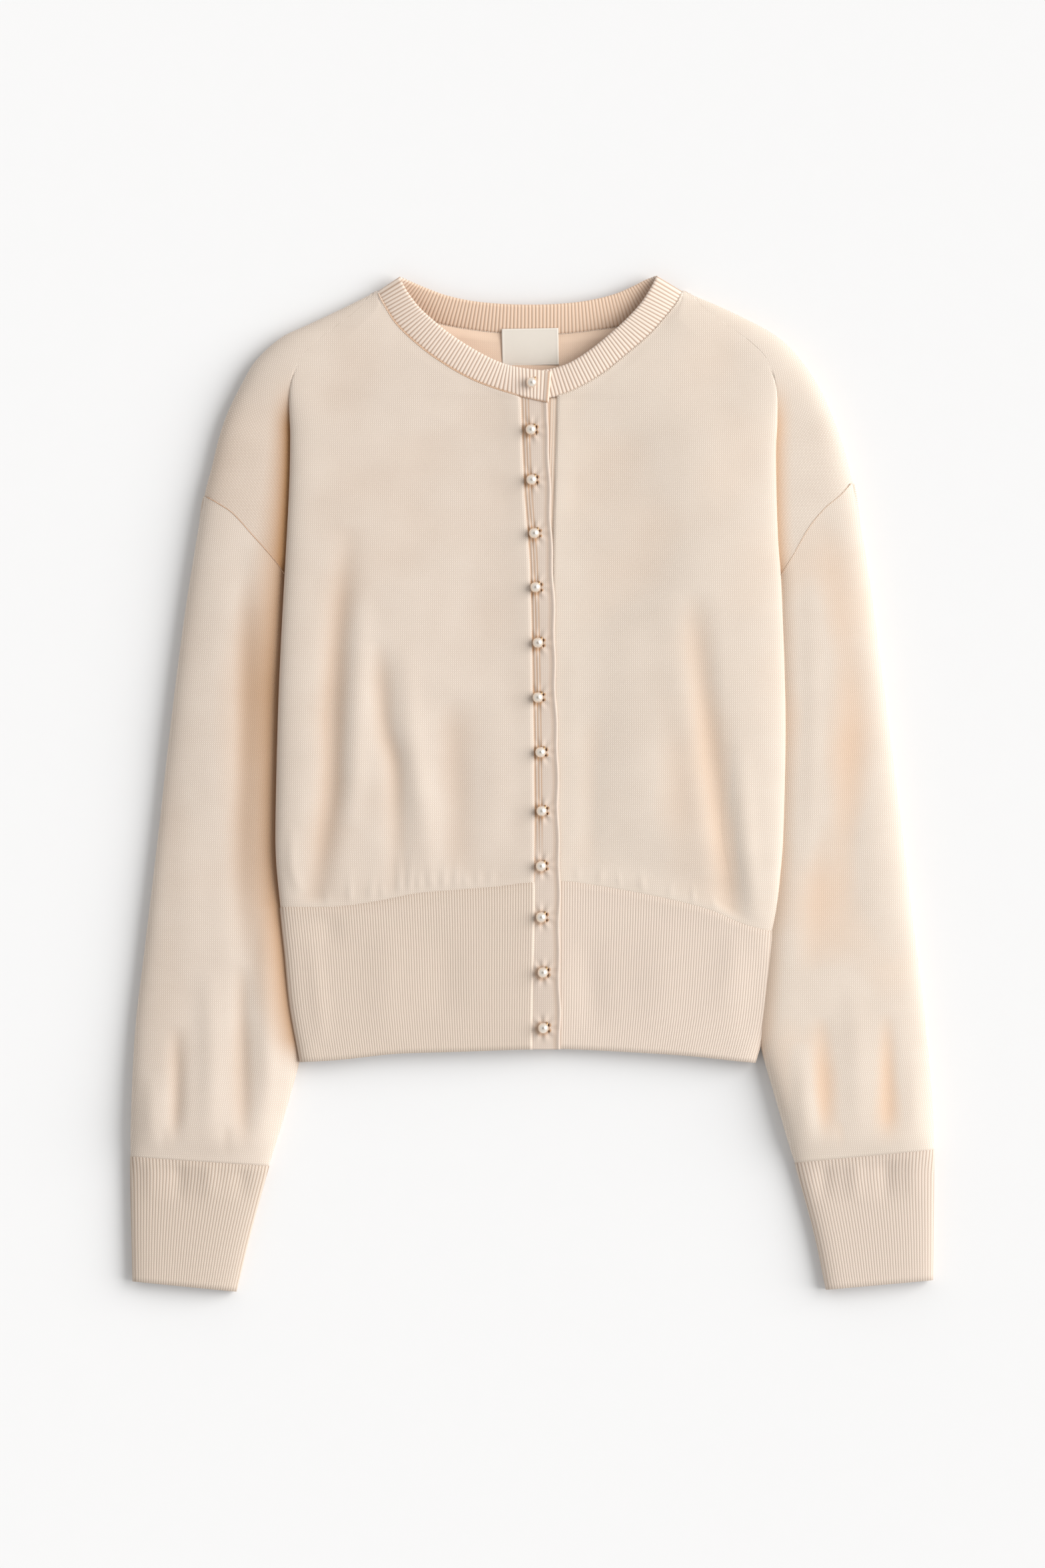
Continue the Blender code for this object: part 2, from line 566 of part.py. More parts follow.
# surface through a list of sections, each a list of points, made into a wall
def cloth(name, rows, wall, group, color, closed=False, flip=False, offset=-1.0, mirror=1):
    count = len(rows[0])
    points = [(mirror * x * MM, y * MM, z * MM) for row in rows for x, y, z in row]
    faces = []
    for r in range(len(rows) - 1):
        for c in range(count if closed else count - 1):
            a, b = r * count + c, r * count + (c + 1) % count
            face = (a, b, b + count, a + count)
            faces.append(face[::-1] if flip else face)
    mesh = bpy.data.meshes.new(name)
    mesh.from_pydata(points, [], faces)
    mesh.update()
    made = place(name, mesh, group, finish(name, color, 0.85))
    wall_maker = made.modifiers.new("wall", "SOLIDIFY")
    wall_maker.thickness = wall * MM
    wall_maker.offset = offset
    wall_maker.use_even_offset = False
    mesh.shade_smooth()
    return made


def plate(name, corners, low, wall, group, color):
    curve = bpy.data.curves.new(name, "CURVE")
    curve.dimensions = "2D"
    curve.fill_mode = "BOTH"
    curve.extrude = wall / 2 * MM
    spline = curve.splines.new("POLY")
    spline.points.add(len(corners) - 1)
    for point, (x, y) in zip(spline.points, corners):
        point.co = (x * MM, y * MM, 0, 1)
    spline.use_cyclic_u = True
    made = place(name, curve, group, finish(name, color, 0.85))
    made.location = (0, 0, (low + wall / 2) * MM)
    return made


def make_label(group):
    half_x, half_y = LABEL_SIZE[0] / 2, LABEL_SIZE[1] / 2
    corners = [(-half_x, -half_y), (half_x, -half_y), (half_x, half_y), (-half_x, half_y)]
    label = plate("neck_label", corners, 0, LABEL_WALL, group, (0.85, 0.78, 0.7))
    label.location = [value * MM for value in LABEL_PLACE]
    label.rotation_euler = (math.radians(LABEL_TURN[0]), 0, math.radians(LABEL_TURN[1]))


def slit_cutter(group):
    made = bpy.data.meshes.new("buttonhole_slits")
    points, faces = [], []
    for y, x in PEARLS:
        cx, cy, cz = x + SLIT_OFFSET[0], y + SLIT_OFFSET[1], band_top(y)
        first = len(points)
        for dz in SLIT_DEPTH:
            for dx, dy in ((-1, -1), (1, -1), (1, 1), (-1, 1)):
                points.append(((cx + dx * SLIT_WIDTH / 2) * MM, (cy + dy * SLIT_LENGTH / 2) * MM,
                               (cz + dz) * MM))
        sides = [(i, (i + 1) % 4, 4 + (i + 1) % 4, 4 + i) for i in range(4)]
        for face in [(3, 2, 1, 0), (4, 5, 6, 7)] + sides:
            faces.append(tuple(first + i for i in face))
    made.from_pydata(points, [], faces)
    cutter = bpy.data.objects.new("buttonhole_slits", made)
    group.objects.link(cutter)
    cutter.hide_render = True
    cutter.display_type = "WIRE"
    return cutter


def cut_slits(piece, cutter):
    cut = piece.modifiers.new("buttonholes", "BOOLEAN")
    cut.operation = "DIFFERENCE"
    cut.object = cutter


def make_pearls(group):
    for i, (y, x) in enumerate(PEARLS):
        top = NECK_END_TOP if i == 0 else band_top(y) + 0.2
        bpy.ops.mesh.primitive_uv_sphere_add(segments=12, ring_count=7, radius=PEARL_RADIUS * MM,
                                             location=(x * MM, y * MM, (top + PEARL_LIFT) * MM))
        move_to(bpy.context.object, f"pearl_{i + 1:02d}", group, ((0.9, 0.86, 0.78), 0.2, 0.0))
        bpy.ops.mesh.primitive_torus_add(
            major_radius=SHANK_RING * MM, minor_radius=SHANK_WIRE * MM, major_segments=10,
            minor_segments=5, rotation=(0, math.pi / 2, 0),
            location=((x + SLIT_OFFSET[0]) * MM, (y + SLIT_OFFSET[1]) * MM, (top - SHANK_SINK) * MM))
        move_to(bpy.context.object, f"shank_{i + 1:02d}", group, ((0.62, 0.45, 0.24), 0.3, 1.0))


def move_to(made, name, group, look):
    made.name = name
    made.data.name = name
    for old in list(made.users_collection):
        old.objects.unlink(made)
    group.objects.link(made)
    made.data.materials.append(finish(name, *look))
    made.data.shade_smooth()


def make_cardigan():
    clear_scene()
    cardigan = collection("button_cardigan")
    cutters = collection("cutters")
    peach = (0.86, 0.70, 0.56)
    plate("back_panel", back_outline(), 0.0, JERSEY_WALL, cardigan, peach)
    for side, sign in (("right", -1), ("left", 1)):
        right = side == "right"
        cloth(f"front_{side}_panel", front_rows(side), JERSEY_WALL, cardigan, peach,
              flip=not right, mirror=sign)
        cloth(f"hem_front_{side}", hem_front_rows(side), RIB_WALL, cardigan, peach,
              flip=not right, mirror=sign)
        cloth(f"sleeve_{side}", sleeve_rings(side), JERSEY_WALL, cardigan, peach, closed=True,
              flip=right, mirror=sign)
        cloth(f"cuff_{side}", cuff_rings(side), RIB_WALL, cardigan, peach, closed=True,
              flip=right, mirror=sign)
    cloth("hem_back", hem_back_rows(), RIB_WALL, cardigan, peach)
    slits = slit_cutter(cutters)
    neck = [[(sx, sy, sz), ((sx + fx) / 2, (sy + fy) / 2, (sz + fz) / 2 + 0.3), (fx, fy, fz)]
            for sx, sy, fx, fy, sz, fz in NECKBAND]
    cut_slits(cloth("neckband", neck, RIB_WALL, cardigan, peach, offset=0.0), slits)
    cut_slits(cloth("buttonhole_band", buttonhole_rows(), BAND_WALL, cardigan, peach, flip=True), slits)
    cloth("button_band", button_band_rows(), BAND_WALL, cardigan, peach, flip=True)
    make_label(cardigan)
    make_pearls(cardigan)


make_cardigan()
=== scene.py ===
import math

import bpy
import numpy as np
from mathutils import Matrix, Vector


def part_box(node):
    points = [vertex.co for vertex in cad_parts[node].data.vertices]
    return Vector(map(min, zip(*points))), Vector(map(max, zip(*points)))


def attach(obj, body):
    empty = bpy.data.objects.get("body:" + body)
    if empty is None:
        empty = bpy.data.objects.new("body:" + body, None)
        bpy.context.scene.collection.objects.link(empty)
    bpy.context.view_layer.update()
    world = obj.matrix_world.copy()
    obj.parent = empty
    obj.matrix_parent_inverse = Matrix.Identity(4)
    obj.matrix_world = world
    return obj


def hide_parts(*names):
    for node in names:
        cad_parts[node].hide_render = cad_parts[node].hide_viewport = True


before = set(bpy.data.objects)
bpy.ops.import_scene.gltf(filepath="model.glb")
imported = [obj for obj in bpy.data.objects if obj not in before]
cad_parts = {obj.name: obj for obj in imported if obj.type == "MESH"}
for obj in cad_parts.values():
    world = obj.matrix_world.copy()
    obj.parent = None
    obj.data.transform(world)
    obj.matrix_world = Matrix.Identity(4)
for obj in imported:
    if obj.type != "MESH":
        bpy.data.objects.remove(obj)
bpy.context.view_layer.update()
mm = 0.001

# Lengths in the dictionaries are millimetres. "right" and "left" are the wearer's sides, so the
# right front, with the buttonholes, lies at -X. Rows of outline, fold, sleeveInner and armhole are y and
# the distance from the middle line.
cardigan = {
    "jerseyWall": 1.1,
    "ribWall": 1.4,
    "edgeHeight": 5.3,        # the fold along the outline stands this high
    "edgeRun": 5.0,           # and takes this far to come down to the floor
    "fullness": 3.0,          # roundness of every roll: 2 is a circle, more is flatter on top
    "valleyHeight": 6.5,
    "valleyRise": {"right": 0.0, "left": 3.0},            # how much shallower it gets up the shoulder
    "outerReach": 0.85,       # share of a sleeve's half width that its outer roll takes
    "innerReach": {"right": 1.2, "left": 0.45},
    "innerBend": {"right": 1.7, "left": 1.0},
    "valleyTuck": 2.0,
    "rollShare": {"right": 0.55, "left": 1.0},            # how soon the body is flat beside its fold
    "sideSeam": 138.0,
    "outline": {
        "right": [(324, 101.4), (312, 125.6), (301, 149), (294, 164), (279, 181), (263, 190.7),
                  (245, 199.6), (229, 205.2), (208, 210.4), (192, 214.6), (154, 221.4), (105, 229),
                  (37, 237.6), (-39, 246.2), (-116, 255.4), (-157, 260.3), (-200, 262.9), (-247, 263.8),
                  (-328, 262.2)],
        "left": [(324, 98.6), (315, 120.3), (306, 139.5), (297, 156.4), (288, 168), (271, 182),
                 (253, 192.2), (236, 199.2), (218, 205.3), (198, 210.3), (165, 216.4), (130, 222),
                 (60, 231.2), (-11, 240.4), (-81, 248.8), (-151, 257.6), (-187, 261.1), (-222, 263.6),
                 (-242, 263.8), (-328, 263)],
    },
    "fold": {
        "right": [(324, 103), (312, 114), (301, 128), (290, 142), (279, 152), (262, 158.5),
                  (227, 158.4), (195, 159.1), (138, 162.1), (97, 164.3), (54, 166.2), (-13, 167.9),
                  (-47, 167.9), (-79, 165.2), (-113, 161.9), (-147, 158.6), (-184, 151.8)],
        "left": [(324, 101), (312, 113), (301, 128), (290, 143), (279, 153), (262, 160), (240, 160.8),
                 (219, 159.9), (162, 161.3), (136, 163), (86, 165.2), (30, 166), (-37, 164.3),
                 (-64, 162.2), (-83, 160.8), (-98, 158.6), (-125, 156.9), (-159, 153), (-184, 146)],
    },
    "sleeveInner": {
        "right": [(190, 160), (137, 162.4), (110, 160.8), (60, 162.4), (0, 164), (-50, 164),
                  (-80, 161.6), (-113, 158.2), (-147, 155.4), (-172, 153.6), (-183, 154.6),
                  (-206, 160.8), (-230, 167.9), (-252.6, 174.9), (-300, 188), (-335, 196.5)],
        "left": [(200, 160), (136, 163), (110, 161.6), (60, 162.2), (0, 161.6), (-50, 160),
                 (-80, 157.6), (-98, 155.2), (-125, 153.2), (-158, 150.2), (-170, 150.9),
                 (-205, 160.8), (-241, 171.4), (-250.4, 174.5), (-296, 187.2), (-333.5, 195.1)],
    },
    "armhole": {
        "right": [(189.2, 215), (185, 207.6), (178.8, 198), (165.3, 185.6), (147, 169.4), (137.3, 162.8)],
        "left": [(198, 210.2), (190, 203), (181.7, 193), (169, 182.4), (151, 172.2), (136, 163.4)],
    },
    # distance from the middle line, and y there
    "ribTop": {
        "right": [(-20, -65.1), (4, -66.2), (23, -68.6), (50, -70.8), (76, -73), (103, -78.3),
                  (130, -81.8), (170, -81.8)],
        "left": [(-10, -65.6), (19, -65.1), (37, -67.1), (64, -71.7), (91, -77.2), (118, -84.5),
                 (137, -92.7), (158, -98.1), (170, -98.3)],
    },
    "hemEnd": {
        "right": [(-20, -174.9), (9, -175.3), (50, -176.7), (90, -178), (130, -182.2), (170, -184)],
        "left": [(-10, -175), (18, -174.8), (64, -176.9), (104, -179.5), (144, -183.6), (170, -184)],
    },
    # y, crest height, run from crest to fold, fold height, run under the fold to the floor
    "bodyRoll": [(324, 10, 12, 9, 20), (300, 13, 26, 10, 22), (260, 15.5, 34, 11.5, 22),
                 (200, 17.5, 38, 12, 22), (100, 18, 38, 12, 22), (-20, 18.5, 40, 12, 22),
                 (-45, 18, 38, 12, 22), (-66, 16, 32, 10.8, 21), (-84, 13.6, 28, 9, 19),
                 (-120, 12.2, 26, 8.4, 18), (-150, 11.6, 25, 7.8, 17), (-184, 11, 22, 6.6, 14)],
    # y, sleeve height, height of its inner edge, run from that edge to the floor
    "sleeveBody": [(324, 9, 6.5, 4), (260, 12, 6.5, 4), (190, 14, 6.5, 4), (137, 14.5, 6.2, 4),
                   (110, 14.5, 2.4, 3), (0, 14, 2.2, 3), (-120, 14, 2.2, 3), (-170, 14.5, 3, 4),
                   (-200, 15.5, 4.4, 5), (-232, 16, 4.6, 5), (-247, 12, 4.6, 5), (-258, 10.2, 4.4, 5),
                   (-300, 9.6, 4.4, 5), (-335, 9.2, 4.4, 5)],
    # y, x of the seam edge, x of the free edge
    "buttonholeBand": [(254, -8.3, 10.2), (193, -5.9, 12.1), (148, -2.5, 13.9), (81, -0.7, 15.6),
                       (-11, 0.7, 17.8), (-60, 0.8, 18.4), (-176, -1.5, 18.7)],
    "buttonBand": [(254, 17.1, -6.5), (209, 15.9, -5), (165, 14.6, -3), (80, 13.4, -1.5),
                   (0, 13, 0), (-176, 13, 0.5)],
    # seam edge x, y, free edge x, y, height of the seam edge, height of the free edge
    "neckband": [
        (10.3, 251.2, 12.1, 271.6, 13, 13), (-9, 255.6, -9.5, 274.4, 13, 13.2),
        (-29.9, 262.2, -23, 278.4, 12.8, 13.4), (-46.9, 269.9, -38, 286, 12.6, 13.6),
        (-65, 281.2, -54, 296.4, 12.2, 13.8), (-79, 292.3, -65.8, 306, 11.6, 14),
        (-90.2, 303.6, -74.4, 314, 10.8, 13.8), (-97.3, 314.8, -81.6, 323.4, 9.6, 13),
        (-100.7, 321.2, -85.6, 330.4, 8.2, 11.6), (-101.6, 324, -87, 333.6, 6, 9.4),
        (-99.6, 322.8, -85.2, 333.4, 3.6, 7.2), (-93, 318.4, -79.6, 331, 1.8, 6.2),
        (-79.5, 310.6, -70, 327, 0.95, 6), (-63.1, 304.2, -56.6, 322.1, 0.95, 6),
        (-42, 300, -38.4, 318.2, 0.95, 6.4), (-20.5, 297.5, -19.4, 316.4, 0.95, 6.8),
        (0, 296.8, 0, 315.9, 0.95, 7), (19.5, 297, 19.4, 316.6, 0.95, 6.8),
        (40, 299.2, 37.6, 318.8, 0.95, 6.4), (60.5, 302.6, 54.4, 323, 0.95, 6),
        (77, 310, 65.8, 327.8, 0.95, 6), (90, 318, 75, 332.4, 1.8, 6.2),
        (96.6, 323, 79.8, 334.1, 3.6, 7.2), (98.7, 324.2, 81.6, 334.3, 6, 9.4),
        (97.6, 320.8, 80.2, 331, 8.2, 11.6), (94.2, 315, 76.6, 324.4, 9.6, 13),
        (88.7, 308.1, 71.6, 316.8, 10.6, 13.6), (77.9, 296, 62.6, 306.8, 11.4, 13.6),
        (62.7, 282.9, 51.4, 296.6, 11.8, 13.2), (47.6, 270.7, 38.6, 286.2, 11.8, 12.8),
        (32.3, 261.6, 25, 277.6, 11.5, 12.2), (17.2, 255.6, 12.4, 273.4, 10.8, 11.2),
        (-6, 252.6, -8, 271.4, 10.5, 10.5),
    ],
    "neckFronts": {"right": (1, 9), "left": (24, 32)},      # stations that meet the fronts
    "neckTurns": {"right": 9, "left": 23},                  # stations at the two neck points
    # y at the neck seam, y at the fold, y at the outline
    "shoulderFan": [(324, 324.4, 325), (320, 321.4, 322.6), (311.5, 315, 317.5), (303.6, 308, 311),
                    (292.3, 298, 303), (281.2, 288, 293.5), (269.9, 276, 281), (262.2, 266, 269),
                    (255.6, 257, 257.6), (249, 248.4, 248), (232, 232, 232), (213, 213, 213),
                    (-400, -400, -400)],
}
cuffLine = {"right": {"top": (-246.5, -252.6), "end": (-328.2, -334.8)},
            "left": {"top": (-241.8, -250.4), "end": (-327.4, -333.5)}}
signs = {"right": -1, "left": 1}


def mix(a, b, share):
    return a + (b - a) * share


def ease(share):
    share = np.clip(share, 0.0, 1.0)
    return share * share * (3 - 2 * share)


def bell(away, width):
    return np.exp(-(away / width) ** 2)


# smooth curve through the rows of a table
def along(table, at, column=1):
    rows = np.array(sorted(table), float)
    keys, values = rows[:, 0], rows[:, column]
    at = np.clip(np.asarray(at, float), keys[0], keys[-1])
    slope = np.gradient(values, keys)
    slope[1:-1] = (values[2:] - values[:-2]) / (keys[2:] - keys[:-2])
    i = np.clip(np.searchsorted(keys, at, side="right") - 1, 0, len(keys) - 2)
    run = keys[i + 1] - keys[i]
    t = (at - keys[i]) / run
    ends = (1 + 2 * t) * (1 - t) ** 2 * values[i] + t * t * (3 - 2 * t) * values[i + 1]
    return ends + run * (t * (1 - t) ** 2 * slope[i] - t * t * (1 - t) * slope[i + 1])


# a line's distance from the middle at this y; for ribTop and hemEnd its y at this distance
def lineAt(name, side, at):
    return along(cardigan[name][side], at)


# height of a roll at a distance from its edge: 0 at the edge, 1 past its run
def rollUp(run, distance):
    full = cardigan["fullness"]
    t = 1 - np.clip(distance / run, 0.0, 1.0)
    return np.maximum(1 - t ** full, 0) ** (1 / full)


def bandTop(y):
    return mix(11.2, 13.2, ease((y + 190) / 150))


def creaseDepth(y):
    return ease((278 - y) / 46)


def outlineNormal(side, y):
    high = np.minimum(y + 3, 324)
    dx = lineAt("outline", side, high) - lineAt("outline", side, high - 6)
    length = np.hypot(dx, 6)
    return -6 / length, dx / length


def edgeDistance(side, x, y):
    return (lineAt("outline", side, y) - x) * -outlineNormal(side, y)[0]


def valleyLift(side, y):
    return cardigan["valleyRise"][side] * ease((y - 120) / 60)


def capHeight(side, x, y):
    creased = lineAt("fold", side, y) - cardigan["valleyTuck"]
    inner = mix(lineAt("sleeveInner", side, y), creased, ease((y - 138) / 14))
    half = (lineAt("outline", side, y) - inner) / 2
    height = along(cardigan["sleeveBody"], y, 1)
    low = along(cardigan["sleeveBody"], y, 2) + valleyLift(side, y)
    edge = cardigan["edgeHeight"]
    fromEdge = edge + (height - edge) * rollUp(half * cardigan["outerReach"], edgeDistance(side, x, y))
    reach, bend = cardigan["innerReach"][side], cardigan["innerBend"][side]
    fromCrease = low + (height - low) * rollUp(half * reach, x - inner) ** bend
    return np.minimum(fromEdge, fromCrease)


def shoulderHeight(side, x, y, middle):
    edge = cardigan["edgeHeight"]
    return edge + (middle - edge) * rollUp(34, edgeDistance(side, x, y))


# stations of the neckband, evenly spaced on a smooth line through the table
def neckStations(count):
    rows = np.array(cardigan["neckband"], float)
    middle = (rows[:, 0:2] + rows[:, 2:4]) / 2
    steps = np.concatenate([[0], np.cumsum(np.hypot(*np.diff(middle, axis=0).T))])
    at = np.linspace(0, steps[-1], count)
    columns = [along(list(zip(steps, rows[:, c])), at) for c in range(6)]
    return np.array(columns).T, at, steps


def neckEdge(side):
    first, last = cardigan["neckFronts"][side]
    rows, at, steps = neckStations(1600)
    span = [steps[first] - 1, steps[last - 1] + 1, steps[cardigan["neckTurns"][side]]]
    rows = rows[(at >= min(span)) & (at <= max(span))]
    rows = rows[np.argsort(rows[:, 1])]
    return rows[:, 1], np.abs(rows[:, 0]), rows[:, 4]


# where a front starts beside the neckband or its front band
def innerBoundary(side, y, gap=0.06):
    if side == "right":
        bandX, bandZ = -along(cardigan["buttonholeBand"], y, 1) + gap, bandTop(y) - 0.1
    else:
        bandX, bandZ = along(cardigan["buttonBand"], y, 1) + gap, bandTop(y) - 2.4
    edgeY, edgeX, edgeZ = neckEdge(side)
    neckX = np.interp(y + gap, edgeY, edgeX) + gap
    neckZ = np.interp(y + gap, edgeY, edgeZ) + 0.5
    onNeck = y > 254.2
    return np.where(onNeck, neckX, bandX), np.where(onNeck, neckZ, bandZ)


# folds: path of x, y points, half width, height (a trough is negative)
def foldHeight(folds, x, y):
    height = np.zeros_like(x)
    for path, width, rise in folds:
        path = np.array(path, float)
        key = np.arange(len(path))
        fine = np.linspace(0, len(path) - 1, 40)
        px = along(list(zip(key, path[:, 0])), fine)
        py = along(list(zip(key, path[:, 1])), fine)
        nearest = np.full(x.shape, 1e9)
        place = np.zeros_like(x)
        for i in range(len(fine) - 1):
            dx, dy = px[i + 1] - px[i], py[i + 1] - py[i]
            t = np.clip(((x - px[i]) * dx + (y - py[i]) * dy) / (dx * dx + dy * dy), 0, 1)
            away = np.hypot(x - px[i] - t * dx, y - py[i] - t * dy)
            closer = away < nearest
            nearest = np.where(closer, away, nearest)
            place = np.where(closer, (i + t) / (len(fine) - 1), place)
        height += rise * bell(nearest, width) * np.sin(math.pi * np.clip(place, 0, 1)) ** 0.7
    return height


# slight unevenness of relaxed cloth
def ripple(x, y, seed):
    total = np.zeros_like(x)
    for i, (length, height) in enumerate(((97, 0.3), (61, 0.14), (37, 0.05))):
        turn = seed * 1.7 + i * 2.1
        ahead = x * math.cos(turn) + y * math.sin(turn)
        total += height * np.sin(ahead * 2 * math.pi / length + turn * 3)
    return total


# folds laid over that unevenness
def clothHeight(points, folds, seed, share=1.0):
    x, y = points[..., 0], points[..., 1]
    return foldHeight(folds, x, y) + share * ripple(x, y, seed)


def normals(points, closed=False):
    down = np.gradient(points, axis=0)
    if closed:
        across = (np.roll(points, -1, axis=1) - np.roll(points, 1, axis=1)) / 2
    else:
        across = np.gradient(points, axis=1)
    normal = np.cross(down, across)
    length = np.linalg.norm(normal, axis=2, keepdims=True)
    return normal / np.maximum(length, 1e-9)


# the same, always pointing out of the garment
def outward(points, side, closed=False):
    return normals(points, closed) * (-1 if (side == "right") != closed else 1)


def lengthAlong(points, axis):
    steps = np.linalg.norm(np.diff(points, axis=axis), axis=2)
    start = np.zeros_like(np.take(steps, [0], axis=axis))
    return np.concatenate([start, np.cumsum(steps, axis=axis)], axis=axis)


# ridges of a rib, one at each whole number of count
def ribProfile(count):
    return 1 - (0.5 - 0.5 * np.cos(2 * math.pi * count)) ** 2.2


# same points, with the columns at equal distances along each row
def evenColumns(points, count, closed=False):
    if closed:
        points = np.concatenate([points, points[:, :1]], axis=1)
    length = lengthAlong(points, 1)
    spread = np.linspace(0, 1, count + 1)[:count] if closed else np.linspace(0, 1, count)
    rows = []
    for row, run in zip(points, length):
        rows.append(np.stack([np.interp(spread * run[-1], run, row[:, c]) for c in range(3)], axis=1))
    return np.array(rows)


# seam allowance: two more rows or columns that turn in under the neighbouring piece
def tucked(points, values, normal, axis, end, tint=None):
    order = slice(None) if end == "first" else slice(None, None, -1)
    take = (lambda a, i: a[order][i]) if axis == 0 else (lambda a, i: a[:, order][:, i])
    away = take(points, 0) - take(points, 1)
    away /= np.maximum(np.linalg.norm(away, axis=1, keepdims=True), 1e-6)
    down = take(normal, 0)
    near = take(points, 0) + away * 0.2 - down * 0.35
    under = take(points, 0) + away * 0.8 - down * 1.6
    rows = [under, near] if end == "first" else [near, under]
    more = [np.stack(rows, axis=axis)] + [np.stack([take(v, 0)] * 2, axis=axis) for v in values]
    # tint is the painted shade given to the tucked rows' last values
    if tint is not None:
        more[-1] = 0 * more[-1] + tint
    joined = []
    for old, new in zip([points] + list(values), more):
        joined.append(np.concatenate([new, old] if end == "first" else [old, new], axis=axis))
    return joined


def placed(name, data):
    item = bpy.data.objects.new(name, data)
    bpy.context.scene.collection.objects.link(item)
    return item


def newPiece(name, points, faces, material):
    mesh = bpy.data.meshes.new(name)
    mesh.from_pydata((np.array(points, float).reshape(-1, 3) * mm).tolist(), [], faces)
    mesh.shade_smooth()
    mesh.materials.append(material)
    return placed(name, mesh)


# rows of points made into a sheet with its wall on one side; flip puts the wall on the other side
def makeSheet(name, points, uv, material, wall, closed=False, paintedLightAndBorder=None, offset=-1.0, holes=None,
              flip=False, otherUv=None, otherFrom=None):
    if flip:
        points, uv, paintedLightAndBorder, otherUv = (None if rows is None else rows[::-1]
                                       for rows in (points, uv, paintedLightAndBorder, otherUv))
    rows, columns = points.shape[:2]
    r, c = np.meshgrid(np.arange(rows - 1), np.arange(columns if closed else columns - 1), indexing="ij")
    corners = [(r, c), (r, c + 1), (r + 1, c + 1), (r + 1, c)][::-1]
    faces = np.stack([row * columns + column % columns for row, column in corners], axis=2)
    cornerUv = np.stack([uv[row, column] for row, column in corners], axis=2)
    if otherUv is not None:
        cornerUv[:, otherFrom:] = np.stack([otherUv[row, column] for row, column in corners],
                                           axis=2)[:, otherFrom:]
    keep = np.ones(faces.shape[:2], bool) if holes is None else ~holes
    piece = newPiece(name, points, faces[keep].tolist(), material)
    layer = piece.data.uv_layers.new(name="knit")
    layer.data.foreach_set("uv", (cornerUv[keep] * mm).astype(np.float32).ravel())
    # per-point amount of painted light and shade, on the label its woven border
    tint = piece.data.attributes.new("paintedLightAndBorder", "FLOAT", "POINT")
    if paintedLightAndBorder is not None:
        tint.data.foreach_set("value", paintedLightAndBorder.astype(np.float32).ravel())
    thickness = piece.modifiers.new("wall", "SOLIDIFY")
    thickness.thickness = wall * mm
    thickness.offset = offset
    thickness.use_even_offset = False
    return piece


def turned(points, side):
    return points * np.array([signs[side], 1, 1])


def standFor(piece, node):
    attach(piece, "root")
    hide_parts(node)


def sheetOf(piece, node):
    standFor(piece, node)


# inputs are pairs of a socket and its value, or the output that feeds it
def addNode(tree, kind, inputs=(), **settings):
    node = tree.nodes.new("ShaderNode" + kind)
    for name, value in settings.items():
        setattr(node, name, value)
    for socket, value in inputs:
        if isinstance(value, bpy.types.NodeSocket):
            tree.links.new(value, node.inputs[socket])
        else:
            node.inputs[socket].default_value = (*value, 1) if isinstance(value, tuple) else value
    return node


class Bench:                  # one material: each call adds nodes and returns their output
    def __init__(self, name):
        self.material = bpy.data.materials.new(name)
        self.material.use_nodes = True
        self.tree = self.material.node_tree

    def math(self, operation, a, b=0.0, c=0.0):
        return addNode(self.tree, "Math", enumerate((a, b, c)), operation=operation).outputs[0]

    def blend(self, share, a, b):
        return addNode(self.tree, "Mix", ((0, share), (6, a), (7, b)), data_type="RGBA").outputs[2]

    def noise(self, scale, detail=2.0):
        place = addNode(self.tree, "TexCoord").outputs["Object"]
        inputs = (("Scale", scale), ("Detail", detail), ("Vector", place))
        return addNode(self.tree, "TexNoise", inputs).outputs[0]

    def uv(self):
        place = addNode(self.tree, "UVMap", uv_map="knit").outputs[0]
        return addNode(self.tree, "SeparateXYZ", ((0, place),)).outputs[:2]

    # painted light and shade kept per point, in creases, seams, folds and grooves; on the label it is the
    # lighter woven border instead
    def paintedLightAndBorder(self):
        return addNode(self.tree, "Attribute", attribute_name="paintedLightAndBorder").outputs["Fac"]

    # color, raised threads with their depth, and the shader's own settings
    def dress(self, color, height, depth, strength, **values):
        shader = self.tree.nodes["Principled BSDF"]
        self.tree.links.new(color, shader.inputs["Base Color"])
        if height is not None:
            inputs = (("Distance", depth * mm), ("Strength", strength), ("Height", height))
            self.tree.links.new(addNode(self.tree, "Bump", inputs).outputs[0], shader.inputs["Normal"])
        for name, value in values.items():
            socket = shader.inputs[name.replace("_", " ")]
            socket.default_value = (*value, 1) if isinstance(value, tuple) else value
        return self.material


yarn = {
    "ridge": (0.79, 0.685, 0.59),
    # the next two are painted shade, between the stitch loops and in the grooves between ribs
    "stitchShade": (0.42, 0.315, 0.235),
    "ribGrooveShade": (0.32, 0.18, 0.10),
    "deep": (0.42, 0.225, 0.10),      # painted shade: the dark colour given to creases, seams and grooves
    "glow": (0.80, 0.50, 0.30),       # painted bounce light: the bright peach given to creases and seams where light shines through
    "wale": 1.35,                     # one column of stitches
    "course": 1.2,                    # one row of stitches
    "wander": 0.45,                   # how far the columns stray
    "jerseyRelief": 0.16,
    "ribStitch": 1.2,
    "gloss": {"Sheen_Roughness": 0.45, "Sheen_Tint": (1.0, 0.93, 0.86), "Specular_IOR_Level": 0.35},
}


